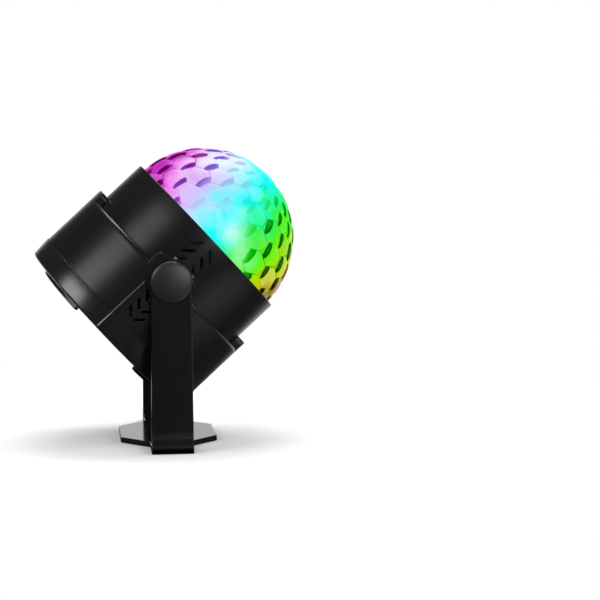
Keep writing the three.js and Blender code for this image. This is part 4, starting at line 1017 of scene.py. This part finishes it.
def lensPatches(corners):
    # Each lens runs from its middle to its outline in levels, its radius groove + relief (1 - t^pillow).
    # Returns the points, the faces and, for each point, its place in the lens: -1 to 1 across, outwards
    # as seen from the side, -1 to 1 along, the level and the lens's number.
    shape = domeShape
    steps = shape["edgeSteps"]
    vectors = direction(corners[..., 0], corners[..., 1])
    part = (np.arange(steps) / steps)[None, None, :, None]
    outline = unit(vectors[:, :, None] * (1 - part) + np.roll(vectors, -1, axis=1)[:, :, None] * part)
    outline = outline.reshape(len(corners), -1, 3)
    middle = unit(vectors.sum(axis=1))
    t = np.asarray(shape["levels"])[None, :, None]
    way = unit(middle[:, None, None] * (1 - t[..., None]) + outline[:, None] * t[..., None])
    radius = shape["groove"] + shape["relief"] * (1 - t ** shape["pillow"])
    points = way * radius[..., None]
    lenses, levels, count = points.shape[:3]
    faces = gridFaces(levels, count, closedColumns=True)
    faces = (faces[None] + (np.arange(lenses) * levels * count)[:, None, None]).reshape(-1, 4)
    east = unit(np.cross([0, 0, 1], middle), 1e-6)
    north = np.cross(middle, east)
    spread = vectors - middle[:, None]
    outward = np.where(middle[:, 0] * east[:, 0] < 0, -1.0, 1.0)
    halfAcross = np.abs((spread * east[:, None]).sum(-1)).max(axis=1) * outward
    halfAlong = np.abs((spread * north[:, None]).sum(-1)).max(axis=1)
    offset = way - middle[:, None, None]
    across = (offset * east[:, None, None]).sum(-1) / halfAcross[:, None, None]
    along = (offset * north[:, None, None]).sum(-1) / halfAlong[:, None, None]
    number = np.arange(lenses)[:, None, None]
    inLens = np.stack(np.broadcast_arrays(across, along, t, number), axis=-1)
    return points.reshape(-1, 3), faces, inLens.reshape(-1, 4)


def glowAt(vectors):
    # Sum of soft round glows, each exp(-(angle / width)^2), the same on the near and the far side.
    total = np.zeros(len(vectors))
    for polar, azimuth, width, strength in glowShape["spots"]:
        for side in (-1, 1):
            cosine = np.clip(vectors @ direction(polar, side * azimuth), -1, 1)
            total += strength * np.exp(-(np.degrees(np.arccos(cosine)) / width) ** 2)
    return np.clip(total - glowShape["cut"], 0, 1)


def chance(number, ringed, turn):
    # A number from 0 to 1 that looks drawn by lot: the part after the point of a large sine.
    return np.modf(np.abs(np.sin(number * 12.9898 + ringed * 3.1 + 1.7 * turn)) * 43758.5453)[0]


def lensGlowShadeTone(points, inLens, ringed):
    # For each point: its place in its lens's streak of painted shade, where 1 is the streak's edge, and the
    # level;
    # then the lamps' painted glow, the streak's strength, the lens's tone and the painted light in it. Streak
    # and tone differ from lens to lens by chance.
    shape = streakShape
    vectors = unit(points, 1e-9)
    across, along, level, number = inLens.T
    ranges = enumerate(shape["ranges"])
    drawn = [low + (high - low) * chance(number, ringed, turn) for turn, (low, high) in ranges]
    shiftAcross, shiftAlong, width, length = drawn
    left = np.clip((-vectors[:, 0] - shape["left"]) / shape["fade"], 0, 1)
    length = length * (1 + shape["longer"] * left)
    place = np.stack([(across + shiftAcross) / width, (along - shiftAlong) / length, level], axis=-1)
    ends = np.clip(np.maximum(left, (vectors[:, 0] - shape["right"]) / shape["fade"]), 0, 1)
    facing = np.clip((shape["facing"] - np.abs(vectors[:, 1])) / shape["turn"], 0, 1)
    strength = ringed * (shape["least"] + (1 - shape["least"]) * ends)
    strength = strength * (shape["dimmest"] + (1 - shape["dimmest"]) * facing)
    tone = chance(number, ringed, len(shape["ranges"]))
    return place, np.stack([glowAt(vectors), strength, tone, np.ones(len(vectors))], axis=-1)


def insideShell(rim):
    # The groove's rim carried down the skirt, and the plain inside from there to the crown.
    shape = domeShape
    down = [0, 0, shape["skirt"]]
    rows = [rim * shape["groove"], rim * shape["groove"] - down, rim * shape["inner"] - down]
    for polar in np.radians(np.linspace(90, 0, 31)):
        rows.append(shape["inner"] * (rim * math.sin(polar) + [0, 0, math.cos(polar)]))
    return np.concatenate(rows), gridFaces(len(rows), len(rim), closedColumns=True)


def dome():
    # All the lenses and the plain inside as one closed shell, with what its material reads.
    shape = domeShape
    pieces, places, marks = [], [], []
    for index, corners in enumerate(lensGroups()):
        points, faces, inLens = lensPatches(corners)
        place, mark = lensGlowShadeTone(points, inLens, float(index == 2))
        pieces.append((points, faces))
        places.append(place)
        marks.append(mark)
    corner = direction(90.0, np.arange(2 * shape["perRing"]) * 180 / shape["perRing"])
    part = (np.arange(shape["edgeSteps"]) / shape["edgeSteps"])[None, :, None]
    rim = unit((corner[:, None] * (1 - part) + np.roll(corner, -1, axis=0)[:, None] * part).reshape(-1, 3))
    pieces.append(insideShell(rim))
    plain = len(pieces[-1][0])
    places.append(np.zeros((plain, 3)))
    marks.append(np.tile([0.0, 0.0, 0.5, shape["skirtLight"]], (plain, 1)))
    points, faces = joined(pieces)
    layers = (
        ("lensGlowShadeTone", "FLOAT_COLOR", "color", np.concatenate(marks)),
        ("lensPlace", "FLOAT_VECTOR", "vector", np.concatenate(places)),
    )
    shell = (points + [0, 0, shape["centre"]], faces)
    makePiece("domeShell", shell, "dome", "domeLens", "rotor", 40, layers)


dome()
print("stage 7: dome")

# Stage: pale floor and white surroundings, soft lights, and the camera. Metres from here on.
studio = {
    "fill": 0.85,  # what plain surfaces see all round
    "front": 0.06,  # what gloss sees in front of the object, where it sees white behind
    "worldSides": (0.90, 1.0), "floorSides": (0.04, 0.14),
    "floorColour": (0.86, 0.86, 0.86, 1), "floorRings": (0, 120, 300, 900, 4000), "floorFade": (0.07, 0.30),
    "patch": {"middle": (0.085, -0.100, 0.0), "reach": 0.090, "light": 0.58},
}
# Place, the point it faces, the way its height runs, width and height, and the brightness of its face
lampsOn = {
    "key": ((-0.752, -0.482, 0.575), (-0.01, 0, 0.08), (0.736, 0, 0.677), (0.54, 0.40), 4.4),
    "front": ((0.48, -0.84, 0.34), (0.0, 0, 0.07), (0, 0, 1), (0.80, 0.66), 1.7),
    "side": ((0.85, 0.02, 0.50), (0.0, 0, 0.07), (0, 0, 1), (0.30, 0.40), 4.0),
    "top": ((0.05, 0.30, 0.95), (0, 0, 0.06), (0, 0, 1), (0.50, 0.50), 6.0),
}


def stand(thing, right, up, back, place):
    # Its own X, Y and Z axes and its place, as the columns of its matrix.
    matrix = np.eye(4)
    matrix[:3] = np.stack([right, up, back, place], axis=-1)
    thing.matrix_world = Matrix(matrix.tolist())


def softLight(name, place, aim, upright, size, brightness):
    # A rectangular light; its power is pi times its area times the brightness of its face.
    data = bpy.data.lights.new(name, "AREA")
    data.shape = "RECTANGLE"
    data.size, data.size_y = size
    data.energy = math.pi * size[0] * size[1] * brightness
    back = unit(np.subtract(place, aim))
    right = unit(np.cross(upright, back))
    stand(newObject(name, data), right, np.cross(back, right), back, place)


for name, setting in lampsOn.items():
    softLight(name, *setting)


def seenWays(tree):
    # How a ray looks at the surroundings: 1 from the camera or through clear pieces, and 1 off gloss.
    path = addNode(tree, "LightPath").outputs
    clear = calculated(tree, "MAXIMUM", path["Is Camera Ray"], path["Is Transmission Ray"])
    return clear, path["Is Glossy Ray"]


def studioSides(tree, vector, ends):
    # White behind the object and dim in front of it, as a studio is: brightness by the place along Y.
    y = addNode(tree, "SeparateXYZ", {"Vector": vector}).outputs["Y"]
    return ranged(tree, y, *ends, studio["front"], 1.0, "SMOOTHSTEP")


def withPatch(tree, place, value):
    # The value plus a soft round patch on the floor, before the dome's side, that the black plastic mirrors.
    patch = studio["patch"]
    away = vectorWork(tree, "DISTANCE", {0: place, 1: patch["middle"]}, "Value")
    bright = ranged(tree, away, 0.0, patch["reach"], patch["light"], 0.0, "SMOOTHSTEP")
    return calculated(tree, "ADD", bright, value)


def surroundings():
    # White to the camera and through clear pieces, the studio's two sides off gloss, a plain fill elsewhere.
    world = bpy.data.worlds.new("surroundings")
    bpy.context.scene.world = world
    world.use_nodes = True
    tree = world.node_tree
    clear, glossy = seenWays(tree)
    way = addNode(tree, "TexCoord").outputs["Generated"]
    mirrored = mixed(tree, glossy, studio["fill"], studioSides(tree, way, studio["worldSides"]), "FLOAT")
    setInputs(tree, tree.nodes["Background"], {
        "Color": (1, 1, 1, 1),
        "Strength": mixed(tree, clear, mirrored, 1.0, "FLOAT"),
    })


def paleFloor():
    # A wide disc. Near the object it is a plain pale surface that takes the shadow, and further out
    # it turns to plain white.
    points, faces = lathe([[radius, 0] for radius in studio["floorRings"]], 96, closed=False)
    mesh = cleaned(newMesh("floor", toYoke(points), faces), 1e-6, 1e-7, outwards=False)
    inputs = {"Base Color": studio["floorColour"], "Roughness": 0.8, "Specular IOR Level": 0.1}
    material, tree, shader = newMaterial("floorPaint", inputs)
    place = addNode(tree, "TexCoord").outputs["Object"]
    clear, glossy = seenWays(tree)
    length = vectorWork(tree, "LENGTH", {0: place}, "Value")
    fade = ranged(tree, length, *studio["floorFade"], 0.0, 1.0, "SMOOTHSTEP")
    share = calculated(tree, "MAXIMUM", calculated(tree, "MULTIPLY", fade, clear), glossy)
    mirrored = withPatch(tree, place, studioSides(tree, place, studio["floorSides"]))
    white = addNode(tree, "Emission", {"Strength": mixed(tree, clear, mirrored, 1.0, "FLOAT")})
    both = {"Fac": share, 1: shader.outputs["BSDF"], 2: white.outputs["Emission"]}
    surface = addNode(tree, "MixShader", both).outputs["Shader"]
    setInputs(tree, tree.nodes["Material Output"], {"Surface": surface})
    mesh.materials.append(material)
    mesh.shade_smooth()
    newObject("floor", mesh)


surroundings()
paleFloor()

cameraPlace = {
    "place": (-0.04097030, -0.84737759, 0.13071422), "lens": 115.6865,
    "right": (0.99296637, -0.11828808, -0.00507161), "up": (0.01486748, 0.08207901, 0.99651492),
    "back": (-0.11745956, -0.98958121, 0.08326034),
}


def viewCamera():
    data = bpy.data.cameras.new("camera")
    data.sensor_width = 36.0
    data.lens = cameraPlace["lens"]
    data.clip_start, data.clip_end = 0.01, 20.0
    camera = newObject("camera", data)
    stand(camera, *[cameraPlace[name] for name in ("right", "up", "back", "place")])
    bpy.context.scene.camera = camera


viewCamera()
bpy.context.scene.view_settings.view_transform = "Standard"

print("stage 8: stage, lights and camera")
